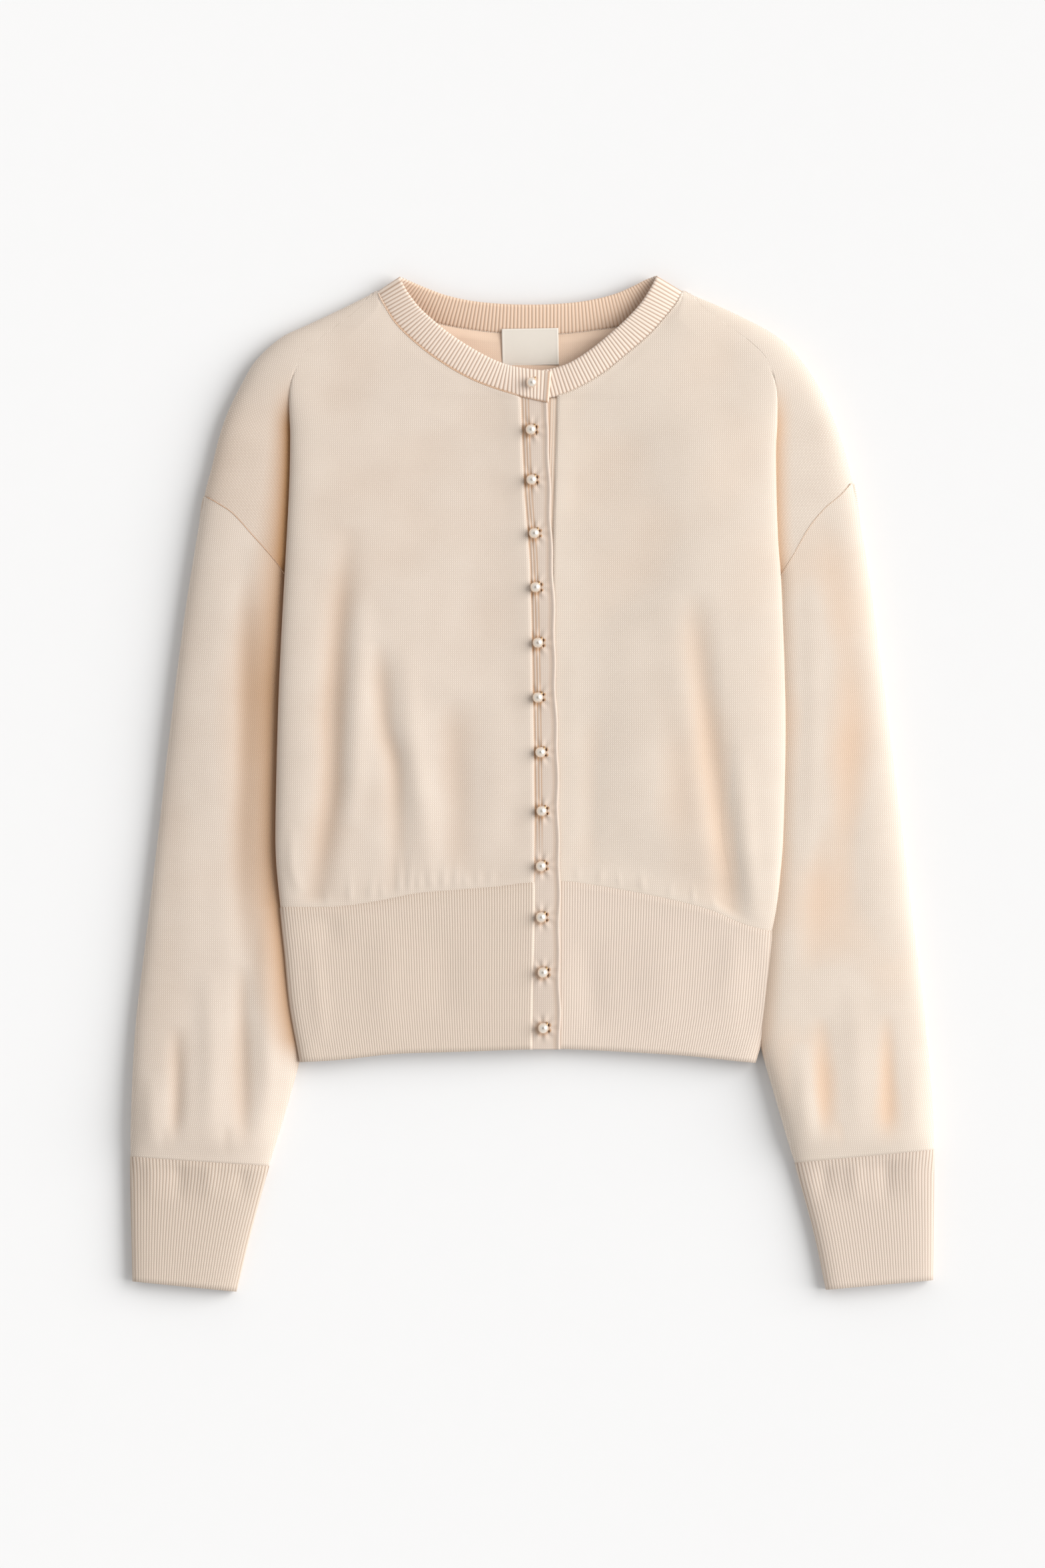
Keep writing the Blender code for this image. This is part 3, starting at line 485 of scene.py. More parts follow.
# the two legs of each stitch stand half a course apart, so their loops lie like a draughtboard
def stitchHeight(bench, u, v, wale, course):
    stray = bench.math("MULTIPLY_ADD", bench.noise(120.0, 2.0), 2.0, -1.0)
    u = bench.math("MULTIPLY_ADD", stray, yarn["wander"] * mm, u)
    v = bench.math("MULTIPLY_ADD", stray, -0.7 * yarn["wander"] * mm, v)
    columns = bench.math("COSINE", bench.math("MULTIPLY", u, 2 * math.pi / (wale * mm)))
    rows = bench.math("COSINE", bench.math("MULTIPLY", v, 2 * math.pi / (course * mm)))
    loops = bench.math("MULTIPLY_ADD", bench.math("MULTIPLY", columns, rows), 0.3, 0.5)
    lines = bench.math("MULTIPLY_ADD", columns, 0.12, bench.math("MULTIPLY", rows, 0.08))
    return bench.math("ADD", loops, lines)


def toned(key, tone):
    return tuple(a * b for a, b in zip(yarn[key], tone))


def jerseyMaterial(name, tone, deep="deep"):
    bench = Bench(name)
    u, v = bench.uv()
    stitch = stitchHeight(bench, u, v, yarn["wale"], yarn["course"])
    cloudy = bench.noise(38.0, 3.0)
    # the stitch pattern mixes the ridge colour with painted shade between the loops
    share = bench.math("MULTIPLY_ADD", stitch, 0.9, bench.math("MULTIPLY_ADD", cloudy, 0.2, 0.1))
    color = bench.blend(share, toned("stitchShade", tone), toned("ridge", tone))
    # painted crease shade and bounce light, from the per-point attribute
    color = bench.blend(bench.paintedLightAndBorder(), color, yarn[deep])
    return bench.dress(color, stitch, yarn["jerseyRelief"], 0.8, Roughness=0.72, Sheen_Weight=0.22,
                        **yarn["gloss"])


# ridges lie at whole numbers of pitch along the first coordinate
def ribMaterial(name, pitch, tone, depth, deep="deep"):
    bench = Bench(name)
    u, v = bench.uv()
    turn = bench.math("MULTIPLY", bench.math("DIVIDE", u, pitch * mm), 2 * math.pi)
    low = bench.math("POWER", bench.math("MULTIPLY_ADD", bench.math("COSINE", turn), -0.5, 0.5), 1.8)
    stitch = stitchHeight(bench, u, v, pitch / 2, yarn["ribStitch"])
    share = bench.math("MULTIPLY_ADD", stitch, -0.3, 0.3)
    # painted shade in the grooves between the ribs, stronger where grooveShade is higher
    share = bench.math("MULTIPLY_ADD", low, 0.85 * depth, share)
    color = bench.blend(share, toned("ridge", tone), toned("ribGrooveShade", tone))
    # painted crease shade and bounce light, from the per-point attribute
    color = bench.blend(bench.paintedLightAndBorder(), color, yarn[deep])
    return bench.dress(color, stitch, 0.1, 0.7, Roughness=0.7, Sheen_Weight=0.2, **yarn["gloss"])


# brightness of each copy of the one yarn, set to match how light falls on each place: painted light and
# shade; the back, seen in the shade inside the neck, is made brightest
litTones = {"right": (1.01, 1.02, 1.03), "left": (1.09, 1.11, 1.12), "back": (1.18, 1.16, 1.16)}
# the right front, on the side away from the light, gets painted crease shade; the others get painted bounce
# light
jersey = {key: jerseyMaterial(f"fine jersey {key}", tone, "deep" if key == "right" else "glow")
          for key, tone in litTones.items()}
# grooveShade sets how dark the painted shade in each rib's grooves is
ribs = {"hemPitch": 1.76, "cuffPitch": 1.77, "neckPitch": 2.39, "hemDepth": 0.26, "cuffDepth": 0.26,
        "neckDepth": 0.32, "grooveShade": {"right": 1.2, "left": 1.0, "back": 1.0}}
# the same painted light and shade for the ribs, with the cuffs a little darker
ribLitTones = {"right": (0.91, 0.905, 0.89), "left": (1.0, 1.0, 1.0), "back": (0.95, 0.95, 0.95)}
hemRib, cuffRib = {}, {}
for key, tone in ribLitTones.items():
    hemRib[key] = ribMaterial(f"hem rib {key}", ribs["hemPitch"], tone, ribs["grooveShade"][key])
    tone = tuple(0.95 * c for c in tone)
    cuffRib[key] = ribMaterial(f"cuff rib {key}", ribs["cuffPitch"], tone, ribs["grooveShade"][key])
# the neckband is made brighter and given painted bounce light inside the neck
neckRib = ribMaterial("neck rib", ribs["neckPitch"], (1.16, 1.15, 1.15), 0.8, "glow")
print("yarns and ribs mixed")

# how far the painted crease shade reaches from the crease beside the body: y, distance
creaseRun = {
    "right": [(-240, 14), (-190, 20), (-60, 36), (60, 46), (110, 38), (150, 26), (200, 20), (280, 14)],
    "left": [(-240, 10), (280, 12)],
}

frontPanel = {
    "rows": 205,
    "topColumns": 84,
    "rollColumns": 22,
    "sideColumns": (4, 24, 10),       # crease, cap, edge
    # amounts of painted light along the seam and neck rows, beside the crease by the body, over the cap and
    # in the fold troughs: painted shade on the right front, painted bounce light on the left
    "seamPaintedLight": {"right": 0.95, "left": 0.3},
    "neckPaintedLight": {"right": 0.8, "left": 0.15},
    "capWales": 42,                   # slant of the wales over the shoulder, degrees
    "creasePaintedLight": {"right": 1.0, "left": 0.8},
    "capPaintedLight": {"right": 0.1, "left": 0.0},
    "troughPaintedLight": 0.3,
    "folds": {
        "right": [
            ([(-120, 170), (-127, 110), (-131, 50), (-132, 0), (-139, -50), (-148, -110)], 9, -2.9),
            ([(-112, 130), (-115, 60), (-117, 10), (-121, -30)], 8, 1.3),
            ([(-101, 95), (-97, 40), (-90, 5), (-89, -80)], 7.5, -2.2),
            ([(-84, 90), (-79, 30), (-72, -20), (-69, -58)], 8, 1.3),
            ([(-54, 60), (-51, 5), (-50, -66)], 11, -1.4),
            ([(-25, 70), (-24, 0), (-27, -60)], 12, 0.8),
            ([(-60, 240), (-75, 190), (-82, 130)], 22, -0.8),
            ([(-158, -28), (-158, -56), (-152, -72)], 3.5, 0.6),
        ],
        "left": [
            ([(104, 130), (110, 77), (117, 25), (124, -27), (129, -64), (132, -120)], 10, -2.8),
            ([(137, 30), (139, -20), (143, -60), (147, -90)], 7, 1.3),
            ([(90, 60), (97, 0), (104, -60)], 13, -0.8),
            ([(60, 120), (66, 40), (70, -50)], 16, 0.9),
            ([(40, 50), (38, -10), (36, -60)], 9, -0.8),
            ([(60, 240), (78, 180), (88, 120)], 22, -0.7),
        ],
    },
    # short gathers that rise from the rib: x, length
    "gathers": {
        "right": [(-120, 16), (-107, 13), (-98, 9), (-87, 22), (-81.5, 17), (-74.5, 12), (-66, 15),
                  (-59, 12), (-50.5, 14), (-43, 8), (-36, 10), (-28, 8), (-134, 9)],
        "left": [(30, 7), (44, 9), (58, 8), (73, 10), (90, 8), (106, 9), (121, 7)],
    },
}


def sideZones(side, yFold, yOut, fold, foldZ, under, deep, crestZ):
    shape = cardigan
    crease, cap, edge = frontPanel["sideColumns"]
    seamTop = shape["armhole"][side][0][0]
    seamLow = shape["armhole"][side][-1][0]
    outer = lineAt("outline", side, yOut)
    nx, ny = outlineNormal(side, yOut)
    # over the shoulder
    valley = mix(fold + 1.5, fold - shape["valleyTuck"], deep)
    plain = shoulderHeight(side, fold + 1, yFold, crestZ)
    floorOfValley = shape["valleyHeight"] + valleyLift(side, yFold)
    valleyZ = mix(plain, floorOfValley, deep)
    foldPointZ = mix(np.minimum(crestZ, shoulderHeight(side, fold, yFold, crestZ)), foldZ, deep)
    s = np.linspace(0, 1, crease + 1)[1:]
    creaseX, creaseY = mix(fold, valley, s), mix(yFold, yFold, s)
    creaseZ = mix(foldPointZ, valleyZ, s ** 0.8)
    t = 0.5 - 0.5 * np.cos(math.pi * np.linspace(0, 1, cap + 1)[1:])
    capX, capY = mix(valley, outer, t), mix(yFold, yOut, t)
    capZ = mix(shoulderHeight(side, capX, capY, crestZ), capHeight(side, capX, capY), deep)
    turn = np.linspace(0, math.pi / 2, edge + 1)[1:]
    inset = shape["edgeRun"] * (1 - np.cos(turn))
    edgeX, edgeY = outer + nx * inset, yOut + ny * inset
    edgeZ = shape["edgeHeight"] * (1 - np.sin(turn)) + 0 * outer
    shoulder = np.stack([np.concatenate([creaseX, capX, edgeX], axis=1),
                         np.concatenate([creaseY, capY, edgeY], axis=1),
                         np.concatenate([creaseZ, capZ, edgeZ], axis=1)], axis=2)
    # over the cap to the armhole seam
    seamX = lineAt("armhole", side, yOut) - 0.02
    last = np.concatenate([t * 0.97, np.linspace(0.97, 1, edge + 1)[1:]])
    holeX = np.concatenate([mix(fold, fold - shape["valleyTuck"], s),
                            mix(fold - shape["valleyTuck"], seamX, last)], axis=1)
    holeY = yOut + 0 * holeX
    holeZ = np.maximum(capHeight(side, holeX, holeY), shape["edgeHeight"])
    holeZ[:, :crease] = mix(foldZ, floorOfValley, s)
    armhole = np.stack([holeX, holeY, holeZ], axis=2)
    # under the side to its seam
    reach = mix(0.24, 1.0, ease((seamLow - 3 - yOut) / 26))
    floorRun = np.maximum(fold - under - shape["sideSeam"] - 0.1, 0.5)
    path = (20 + floorRun) * reach * np.linspace(0, 1, crease + cap + edge + 1)[1:]
    angle = math.pi / 2 * np.minimum(path / 20, 1)
    sideX = fold - under * (1 - np.cos(angle)) - np.maximum(path - 20, 0)
    sideZ = foldZ * (1 - np.sin(angle))
    bottom = np.stack([sideX, yOut + 0 * sideX, sideZ], axis=2)
    choice = yOut[:, :, None]
    return np.where(choice > seamTop, shoulder, np.where(choice > seamLow, armhole, bottom))


def ribRise(side, x, z):
    level = lineAt("ribTop", side, x) - lineAt("ribTop", side, 160.0)
    return level * ease((z - 1) / 7)


def frontPoints(side):
    shape = cardigan
    rib = float(lineAt("ribTop", side, 160.0))
    top = shape["neckband"][shape["neckTurns"][side]][1]
    ends = [shape["armhole"][side][i][0] + step for i in (0, -1) for step in (-0.1, 0.1)]
    yIn = np.concatenate([np.linspace(top - 0.3, rib + 0.12, frontPanel["rows"]), ends])
    yIn = np.sort(yIn)[::-1][:, None]
    yFold, yOut = along(shape["shoulderFan"], yIn, 1), along(shape["shoulderFan"], yIn, 2)
    xIn, zIn = innerBoundary(side, yIn)
    fold = lineAt("fold", side, yFold)
    crestZ, crestRun, foldZ, under = (along(shape["bodyRoll"], yFold, c) for c in (1, 2, 3, 4))
    crest = np.maximum(fold - crestRun * shape["rollShare"][side], mix(xIn, fold, 0.35))
    crestTop = np.minimum(crestZ, shoulderHeight(side, crest, yFold, crestZ))
    deep = creaseDepth(yFold)
    t = np.linspace(0, 1, frontPanel["topColumns"])
    topPart = np.stack([mix(xIn, crest, t), mix(yIn, yFold, t),
                        mix(zIn, crestTop, ease((t - 0.04) / 0.96))], axis=2)
    full = shape["fullness"]
    angle = np.linspace(0, math.pi / 2, frontPanel["rollColumns"] + 1)[1:]
    rollX = mix(crest, fold, np.sin(angle) ** (2 / full))
    rolled = mix(foldZ, crestZ, np.clip(np.cos(angle), 0, 1) ** (2 / full))
    plain = np.minimum(crestZ, shoulderHeight(side, rollX, yFold, crestZ))
    rollPart = np.stack([rollX, yFold + 0 * rollX, mix(plain, rolled, deep)], axis=2)
    sidePart = sideZones(side, yFold, yOut, fold, foldZ, under, deep, crestZ)
    points = np.concatenate([topPart, rollPart, sidePart], axis=1)
    sag = ease(1 - (yIn - rib) / 130)
    points[..., 1] += sag * ribRise(side, points[..., 0], points[..., 2])
    return points, fold, deep


def gatherHeight(side, x, y):
    height = np.zeros_like(x)
    rib = lineAt("ribTop", side, np.abs(x))
    for i, (place, length) in enumerate(frontPanel["gathers"][side]):
        up = np.clip((y - rib) / length, 0, 3)
        wide = 1.9 + 0.5 * math.sin(i * 2.3)
        lean = place + 1.5 * math.sin(i * 1.9) * up
        height += (0.75 + 0.25 * math.sin(i * 3.1)) * np.exp(-((x - lean) / wide) ** 2 - up ** 2)
    return height


def makeFront(side):
    points, fold, deep = frontPoints(side)
    topColumns = frontPanel["topColumns"]
    crease = frontPanel["sideColumns"][0]
    capStart = topColumns + frontPanel["rollColumns"] + crease - 1
    flatX, flatY = points[..., 0].copy(), points[..., 1].copy()
    run = lengthAlong(points, 1)
    wales = flatX - (fold - 162) * ease(flatX / fold) * ease((285 - flatY) / 70)
    last = topColumns - 1
    wales[:, last:] = wales[:, last:last + 1] + run[:, last:] - run[:, last:last + 1]
    uv = np.stack([wales, flatY], axis=2)
    slant = math.radians(frontPanel["capWales"]) * ease((292 - flatY) / 80)
    outX, upY = flatX - 175, flatY - 235
    capUv = np.stack([175 + outX * np.cos(slant) - upY * np.sin(slant),
                      235 + outX * np.sin(slant) + upY * np.cos(slant)], axis=2)
    onCap = (flatY > cardigan["armhole"][side][-1][0])[..., None]
    capUv = np.where(onCap, capUv, uv)
    # painted crease shade beside the body, fading away from the fold
    beyond = np.clip(1.15 * (1 - (flatX - fold) / along(creaseRun[side], flatY)), 0, 1)
    paintedLightAndBorder = np.zeros_like(flatX)
    paintedLightAndBorder[:, capStart - crease:] = (beyond * deep)[:, capStart - crease:] ** 1.5
    paintedLightAndBorder *= frontPanel["creasePaintedLight"][side]
    paintedLightAndBorder += frontPanel["capPaintedLight"][side] * ease((flatX - fold) / 4) * deep
    # painted shade along the neck seam
    paintedLightAndBorder[:, 0] = frontPanel["neckPaintedLight"][side] * ease((flatY[:, 0] - 254) / 4)
    points = turned(points, side)
    facing = np.clip(outward(points, side)[..., 2], 0, 1)
    lift = clothHeight(points, frontPanel["folds"][side], 1 + signs[side])
    lift += gatherHeight(side, points[..., 0], points[..., 1])
    hold = ease((flatY - lineAt("ribTop", side, flatX)) / 9)
    inner = ease((run - 0.5) / 14) * 0.9 + 0.1
    neckLine = ease((cardigan["neckband"][cardigan["neckTurns"][side]][1] - flatY) / 30) * 0.8 + 0.2
    lift = lift * facing * hold * inner * neckLine * ease((points[..., 2] - 3) / 5)
    points[..., 2] += lift
    # painted shade in the troughs of the folds
    paintedLightAndBorder = np.clip(paintedLightAndBorder + frontPanel["troughPaintedLight"] * np.clip(-lift / 2, 0, 1.2), 0, 1)
    for axis, end in ((1, "first"), (0, "last")):
        # the tucked seam rows get the seam's painted shade
        tint = frontPanel["seamPaintedLight"][side] if end == "first" else 0.0
        points, uv, capUv, paintedLightAndBorder = tucked(points, (uv, capUv, paintedLightAndBorder), outward(points, side),
                                           axis, end, tint)
    piece = makeSheet(f"frontPanel_{side}", points, uv, jersey[side], cardigan["jerseyWall"],
                      paintedLightAndBorder=paintedLightAndBorder, flip=side == "left", otherUv=capUv, otherFrom=capStart + 2)
    sheetOf(piece, f"front_{side}_panel")
    return piece


fronts = {side: makeFront(side) for side in ("right", "left")}
print("fronts laid")

hem = {
    "seamAngle": {"right": 88, "left": 108},
    "seamTurn": {"right": 1.5, "left": 4},
    "rows": 30,
    "pointsPerRib": 7,
    "backPointsPerRib": 5,
    "backRows": 10,
    "folds": {
        "right": [([(-133, -84), (-134, -92), (-133, -108)], 8, -0.9),
                  ([(-57, -100), (-58, -130), (-60, -155)], 13, -0.9),
                  ([(-95, -90), (-97, -130), (-99, -170)], 12, 0.7),
                  ([(-146, -100), (-141, -140), (-139, -172)], 6, 0.7)],
        "left": [([(36, -100), (38, -135), (40, -165)], 10, -1.0),
                 ([(150, -108), (146, -140), (140, -170)], 9, -0.9),
                 ([(134, -96), (131, -118), (124, -150)], 8, 0.6),
                 ([(85, -90), (84, -130), (82, -170)], 15, 0.7)],
    },
}


def hemLine(side, x, z, v):
    top = lineAt("ribTop", side, 160.0) + ribRise(side, x, z) + 0.02
    return mix(top, lineAt("hemEnd", side, x), v)


def rollPoint(side, y, angle):
    full = cardigan["fullness"]
    fold = lineAt("fold", side, y)
    crestZ, crestRun, foldZ, under = (along(cardigan["bodyRoll"], y, c) for c in (1, 2, 3, 4))
    crestRun = crestRun * cardigan["rollShare"][side]
    turn = np.radians(angle)
    over = angle <= 90
    sine = np.clip(np.sin(turn), 0, 1)
    cosine = np.clip(np.abs(np.cos(turn)), 0, 1)
    overX = fold - crestRun * (1 - sine ** (2 / full))
    overZ = mix(foldZ, crestZ, cosine ** (2 / full))
    underX, underZ = fold - under * (1 - sine), foldZ * (1 - cosine)
    return np.where(over, overX, underX), np.where(over, overZ, underZ)


# whole ribs, evenly spaced along each row
def ribbed(points, pointsPerRib):
    ribCount = int(round(lengthAlong(points, 1)[3, -1] / ribs["hemPitch"]))
    points = evenColumns(points, ribCount * pointsPerRib + 1)
    count = np.linspace(0, ribCount, points.shape[1])[None, :] + 0 * points[..., 0]
    return points, count, np.stack([count * ribs["hemPitch"], points[..., 1]], axis=2)


def makeHemFront(side):
    v = np.linspace(0, 1, hem["rows"])[:, None]
    level = hemLine(side, 160.0, 0, v)
    crestX, crestZ = rollPoint(side, level, 0)
    xIn, zIn = innerBoundary(side, level)
    t = np.linspace(0, 1, 120)
    x, z = mix(xIn, crestX, t), mix(zIn, crestZ, ease((t - 0.04) / 0.96))
    angles = np.linspace(0, hem["seamAngle"][side], 61)[1:]
    rollX, rollZ = rollPoint(side, level, angles)
    x, z = np.concatenate([x, rollX], axis=1), np.concatenate([z, rollZ], axis=1)
    y = hemLine(side, x, z, v)
    points = np.stack([x, y, z], axis=2)
    points, count, uv = ribbed(points, hem["pointsPerRib"])
    points = turned(points, side)
    normal = outward(points, side)
    lift = clothHeight(points, hem["folds"][side], 4 + signs[side], 0.5)
    points[..., 2] += lift * np.clip(normal[..., 2], 0, 1) * ease(v * 8)
    edges = 0.55 + 0.45 * ease(v * 14) * ease((1 - v) * 26)
    points = points + normal * (ribs["hemDepth"] * (ribProfile(count) - 0.5) * edges)[..., None]
    paintedLightAndBorder = np.zeros_like(count)
    for axis, end in ((1, "first"), (1, "last"), (0, "first")):
        points, uv, paintedLightAndBorder = tucked(points, (uv, paintedLightAndBorder), outward(points, side), axis, end)
    piece = makeSheet(f"hemRib_{side}", points, uv, hemRib[side], cardigan["ribWall"], paintedLightAndBorder=paintedLightAndBorder,
                      flip=side == "left")
    sheetOf(piece, f"hem_front_{side}")


# the back's hem seam is straight from side to side
def straightRibTop(x):
    tops = [float(lineAt("ribTop", side, 160.0)) for side in ("right", "left")]
    return mix(tops[0], tops[1], (x + 160) / 320)


def makeHemBack():
    v = np.linspace(0, 1, hem["backRows"])[:, None]
    half = []
    for side in ("right", "left"):
        sign = signs[side]
        level = hemLine(side, 160.0, 0, v)
        start = hem["seamAngle"][side] + hem["seamTurn"][side]
        floorX = rollPoint(side, level, np.array([180.0]))[0]
        x = floorX * np.linspace(0, 1, 60)[None, :-1]
        z = np.zeros_like(x)
        rollX, rollZ = rollPoint(side, level, np.linspace(180, start, 60))
        x, z = np.concatenate([x, rollX], axis=1), np.concatenate([z, np.maximum(rollZ, 0)], axis=1)
        y = mix(straightRibTop(sign * x) - 0.1, lineAt("hemEnd", side, x), v)
        y = mix(y, hemLine(side, x, z, v), ease(z / 6))
        half.append(np.stack([sign * x, y, z], axis=2))
    points = np.concatenate([half[0][:, :0:-1], half[1]], axis=1)
    points, count, uv = ribbed(points, hem["backPointsPerRib"])
    normal = normals(points)
    # ribs stand inward under the garment, where it rests, and outward round its sides
    outward = ease((points[..., 2] - 0.5) / 3)
    relief = ribs["hemDepth"] * (ribProfile(count) - 0.5)
    points[..., 2] = np.maximum(points[..., 2], 0)
    points = points + normal * (relief * -outward)[..., None]
    points[..., 2] = np.maximum(points[..., 2], 0)
    piece = makeSheet("hemRib_back", points, uv, hemRib["right"], cardigan["ribWall"], offset=1.0,
                      flip=True)
    sheetOf(piece, "hem_back")


for side in ("right", "left"):
    makeHemFront(side)
makeHemBack()
print("hem ribbed")

sleeve = {
    "rings": 200,
    "overColumns": 64,
    "underColumns": (8, 16, 8),
    "pairs": [(189.2, 136.4), (176, 118), (158, 100), (132, 80), (100, 56), (62, 28), (24, -2),
              (-20, -34), (-64, -70), (-106, -108), (-144, -145), (-176, -177), (-204, -206),
              (-226, -229), (-240, -244), (-252, -256)],
    # amounts of painted light beside the crease by the body and in the fold troughs: painted shade on the
    # right sleeve, painted bounce light on the left
    "creasePaintedLight": {"right": 0.78, "left": 0.3},
    "foldShare": {"right": 0.85, "left": 0.5},
    "troughPaintedLight": {"right": 0.2, "left": 0.42},
    "folds": {
        "right": [
            ([(-190, 157), (-189, 100), (-190, 30), (-192, -60), (-190, -150)], 8, -1.5),
            ([(-205, 140), (-206, 40), (-212, -60)], 13, 0.8),
            ([(-236, 20), (-239, -60), (-240, -140)], 10, -0.6),
            ([(-176, -80), (-175, -130), (-174, -200), (-180, -238)], 7, 2.0),
            ([(-192, -120), (-191, -180), (-190, -246)], 6, -2.2),
            ([(-213, -120), (-211, -190), (-213, -246)], 8, 1.8),
            ([(-234, -160), (-234, -205), (-236, -248)], 5.5, -2.4),
            ([(-251, -190), (-251, -225), (-252, -246)], 6, 1.2),
            ([(-202, -225), (-202, -249)], 3.5, -0.9),
            ([(-243, -226), (-242, -248)], 3.0, -0.8),
        ],
        "left": [
            ([(184, 140), (185, 60), (184, -10), (181, -60)], 6, 0.8),
            ([(192, 190), (207, 80), (210, 40), (205, -40), (196, -130)], 12, -1.6),
            ([(186, -20), (188, -70), (182, -130)], 9, -0.9),
            ([(226, 40), (230, -50), (236, -120)], 14, 0.8),
            ([(190, -150), (192, -200), (194, -244)], 7, -1.9),
            ([(176, -170), (180, -215), (182, -244)], 6, 1.6),
            ([(212, -130), (214, -190), (215, -244)], 8, 1.8),
            ([(233, -150), (234, -200), (234, -244)], 6, -2.0),
            ([(251, -170), (252, -215), (252, -240)], 6, 1.1),
            ([(203, -222), (203, -246)], 3.4, -0.9),
        ],
    },
}


def armholeY(side, x):
    y = np.linspace(cardigan["armhole"][side][-1][0], cardigan["armhole"][side][0][0], 200)
    edge = lineAt("armhole", side, y)
    return np.interp(x, edge, y)


def sleeveRings(side, yOuter, yInner, bow, over, under):
    shape = cardigan
    xOuter = lineAt("outline", side, yOuter)
    xInner = lineAt("sleeveInner", side, yInner)
    low, lowRun = along(shape["sleeveBody"], yInner, 2), along(shape["sleeveBody"], yInner, 3)
    t = 0.5 - 0.5 * np.cos(math.pi * np.linspace(0, 1, over + 1))
    x, y = mix(xOuter, xInner, t), mix(yOuter, yInner, t)
    y = mix(y, armholeY(side, x) - 0.02, bow)
    z = capHeight(side, x, y)
    z[:, 0], z[:, -1] = shape["edgeHeight"], low[:, 0]
    length = np.hypot(xOuter - xInner, yOuter - yInner)
    run, high = shape["edgeRun"], shape["edgeHeight"]
    first = run * (1 - np.cos(np.linspace(0, math.pi / 2, under[0] + 1)[1:]))
    last = lowRun * (1 - np.cos(np.linspace(math.pi / 2, 0, under[2] + 1)[:-1]))
    share = np.concatenate([first / length, mix(run / length, 1 - lowRun / length,
                            np.linspace(0, 1, under[1] + 2)[1:-1]), 1 - last / length], axis=1)
    distance = share * length
    lift = high * (1 - np.sqrt(np.clip(1 - (1 - np.clip(distance / run, 0, 1)) ** 2, 0, 1)))
    backRun = np.clip((length - distance) / lowRun, 0, 1)
    lift = np.maximum(lift, low * (1 - np.sqrt(np.clip(1 - (1 - backRun) ** 2, 0, 1))))
    ux, uy = mix(xOuter, xInner, share), mix(yOuter, yInner, share)
    uy = mix(uy, armholeY(side, ux) - 0.02, bow)
    top = np.stack([x, y, z], axis=2)
    bottom = np.stack([ux, uy, lift], axis=2)
    return np.concatenate([top, bottom[:, ::-1]], axis=1)


def makeSleeve(side):
    yTop = cardigan["armhole"][side][0][0] - 0.02
    outerEnd, innerEnd = cuffLine[side]["top"]
    yOuter = np.linspace(yTop, outerEnd, sleeve["rings"])[:, None]
    pairs = [(yTop + 0.15, cardigan["armhole"][side][-1][0] - 0.02)] + sleeve["pairs"][1:-2]
    pairs.append((outerEnd, innerEnd))
    yInner = along(pairs, yOuter)
    bow = ease((yOuter - 168) / (yTop - 168))
    points = sleeveRings(side, yOuter, yInner, bow, sleeve["overColumns"], sleeve["underColumns"])
    over = sleeve["overColumns"] + 1
    middle = (lineAt("outline", side, points[..., 1])
              + lineAt("sleeveInner", side, points[..., 1])) / 2
    wales = points[..., 0] - middle
    uv = np.stack([wales, points[..., 1]], axis=2)
    run = lengthAlong(points[:, over - 1:], 1)
    uv[:, over - 1:, 0] = uv[:, over - 1:over, 0] - run
    foldX = lineAt("fold", side, points[..., 1])
    reach = along(creaseRun[side], points[..., 1])
    # painted crease shade beside the body
    paintedLightAndBorder = np.clip(1.2 * (1 - (points[..., 0] - foldX) / reach), 0, 1) ** 1.3
    paintedLightAndBorder *= sleeve["creasePaintedLight"][side] * ease((points[..., 1] + 192) / 26)
    # painted shade along the armhole seam
    paintedLightAndBorder[0] = np.maximum(paintedLightAndBorder[0], 0.8)
    paintedLightAndBorder[:, over:] = 0
    points = turned(points, side)
    facing = np.clip(outward(points, side, closed=True)[..., 2], 0, 1)
    lift = clothHeight(points, sleeve["folds"][side], 7 + signs[side])
    lift *= ease((points[..., 2] - 2.5) / 5) * ease((yTop - points[..., 1]) / 12 + 0.15)
    lift *= ease(np.linspace(16, 0, sleeve["rings"])[:, None])
    points[..., 2] += lift * facing * sleeve["foldShare"][side]
    # painted shade in the troughs of the folds
    paintedLightAndBorder = np.clip(paintedLightAndBorder + sleeve["troughPaintedLight"][side] * np.clip(-lift * facing / 1.6, 0, 1.2), 0, 1)
    closedUv = np.concatenate([uv, uv[:, -1:] + np.array([[[-0.5, 0]]])], axis=1)
    piece = makeSheet(f"sleevePanel_{side}", points, closedUv, jersey[side], cardigan["jerseyWall"],
                      closed=True, paintedLightAndBorder=paintedLightAndBorder, flip=side == "right")
    sheetOf(piece, f"sleeve_{side}")
    return piece


cuff = {
    "rows": 24,
    "columns": (90, (12, 60, 12)),       # over, and under the arm
    "ribs": 86,
    "pointsPerRib": 7,
    "folds": [(233, -1.3), (213, 1.0), (192, -1.3), (251, 0.7)],      # distance from the middle, height
    "turnIn": (1.2, 0.8),                # the top row goes in and up under the sleeve
}


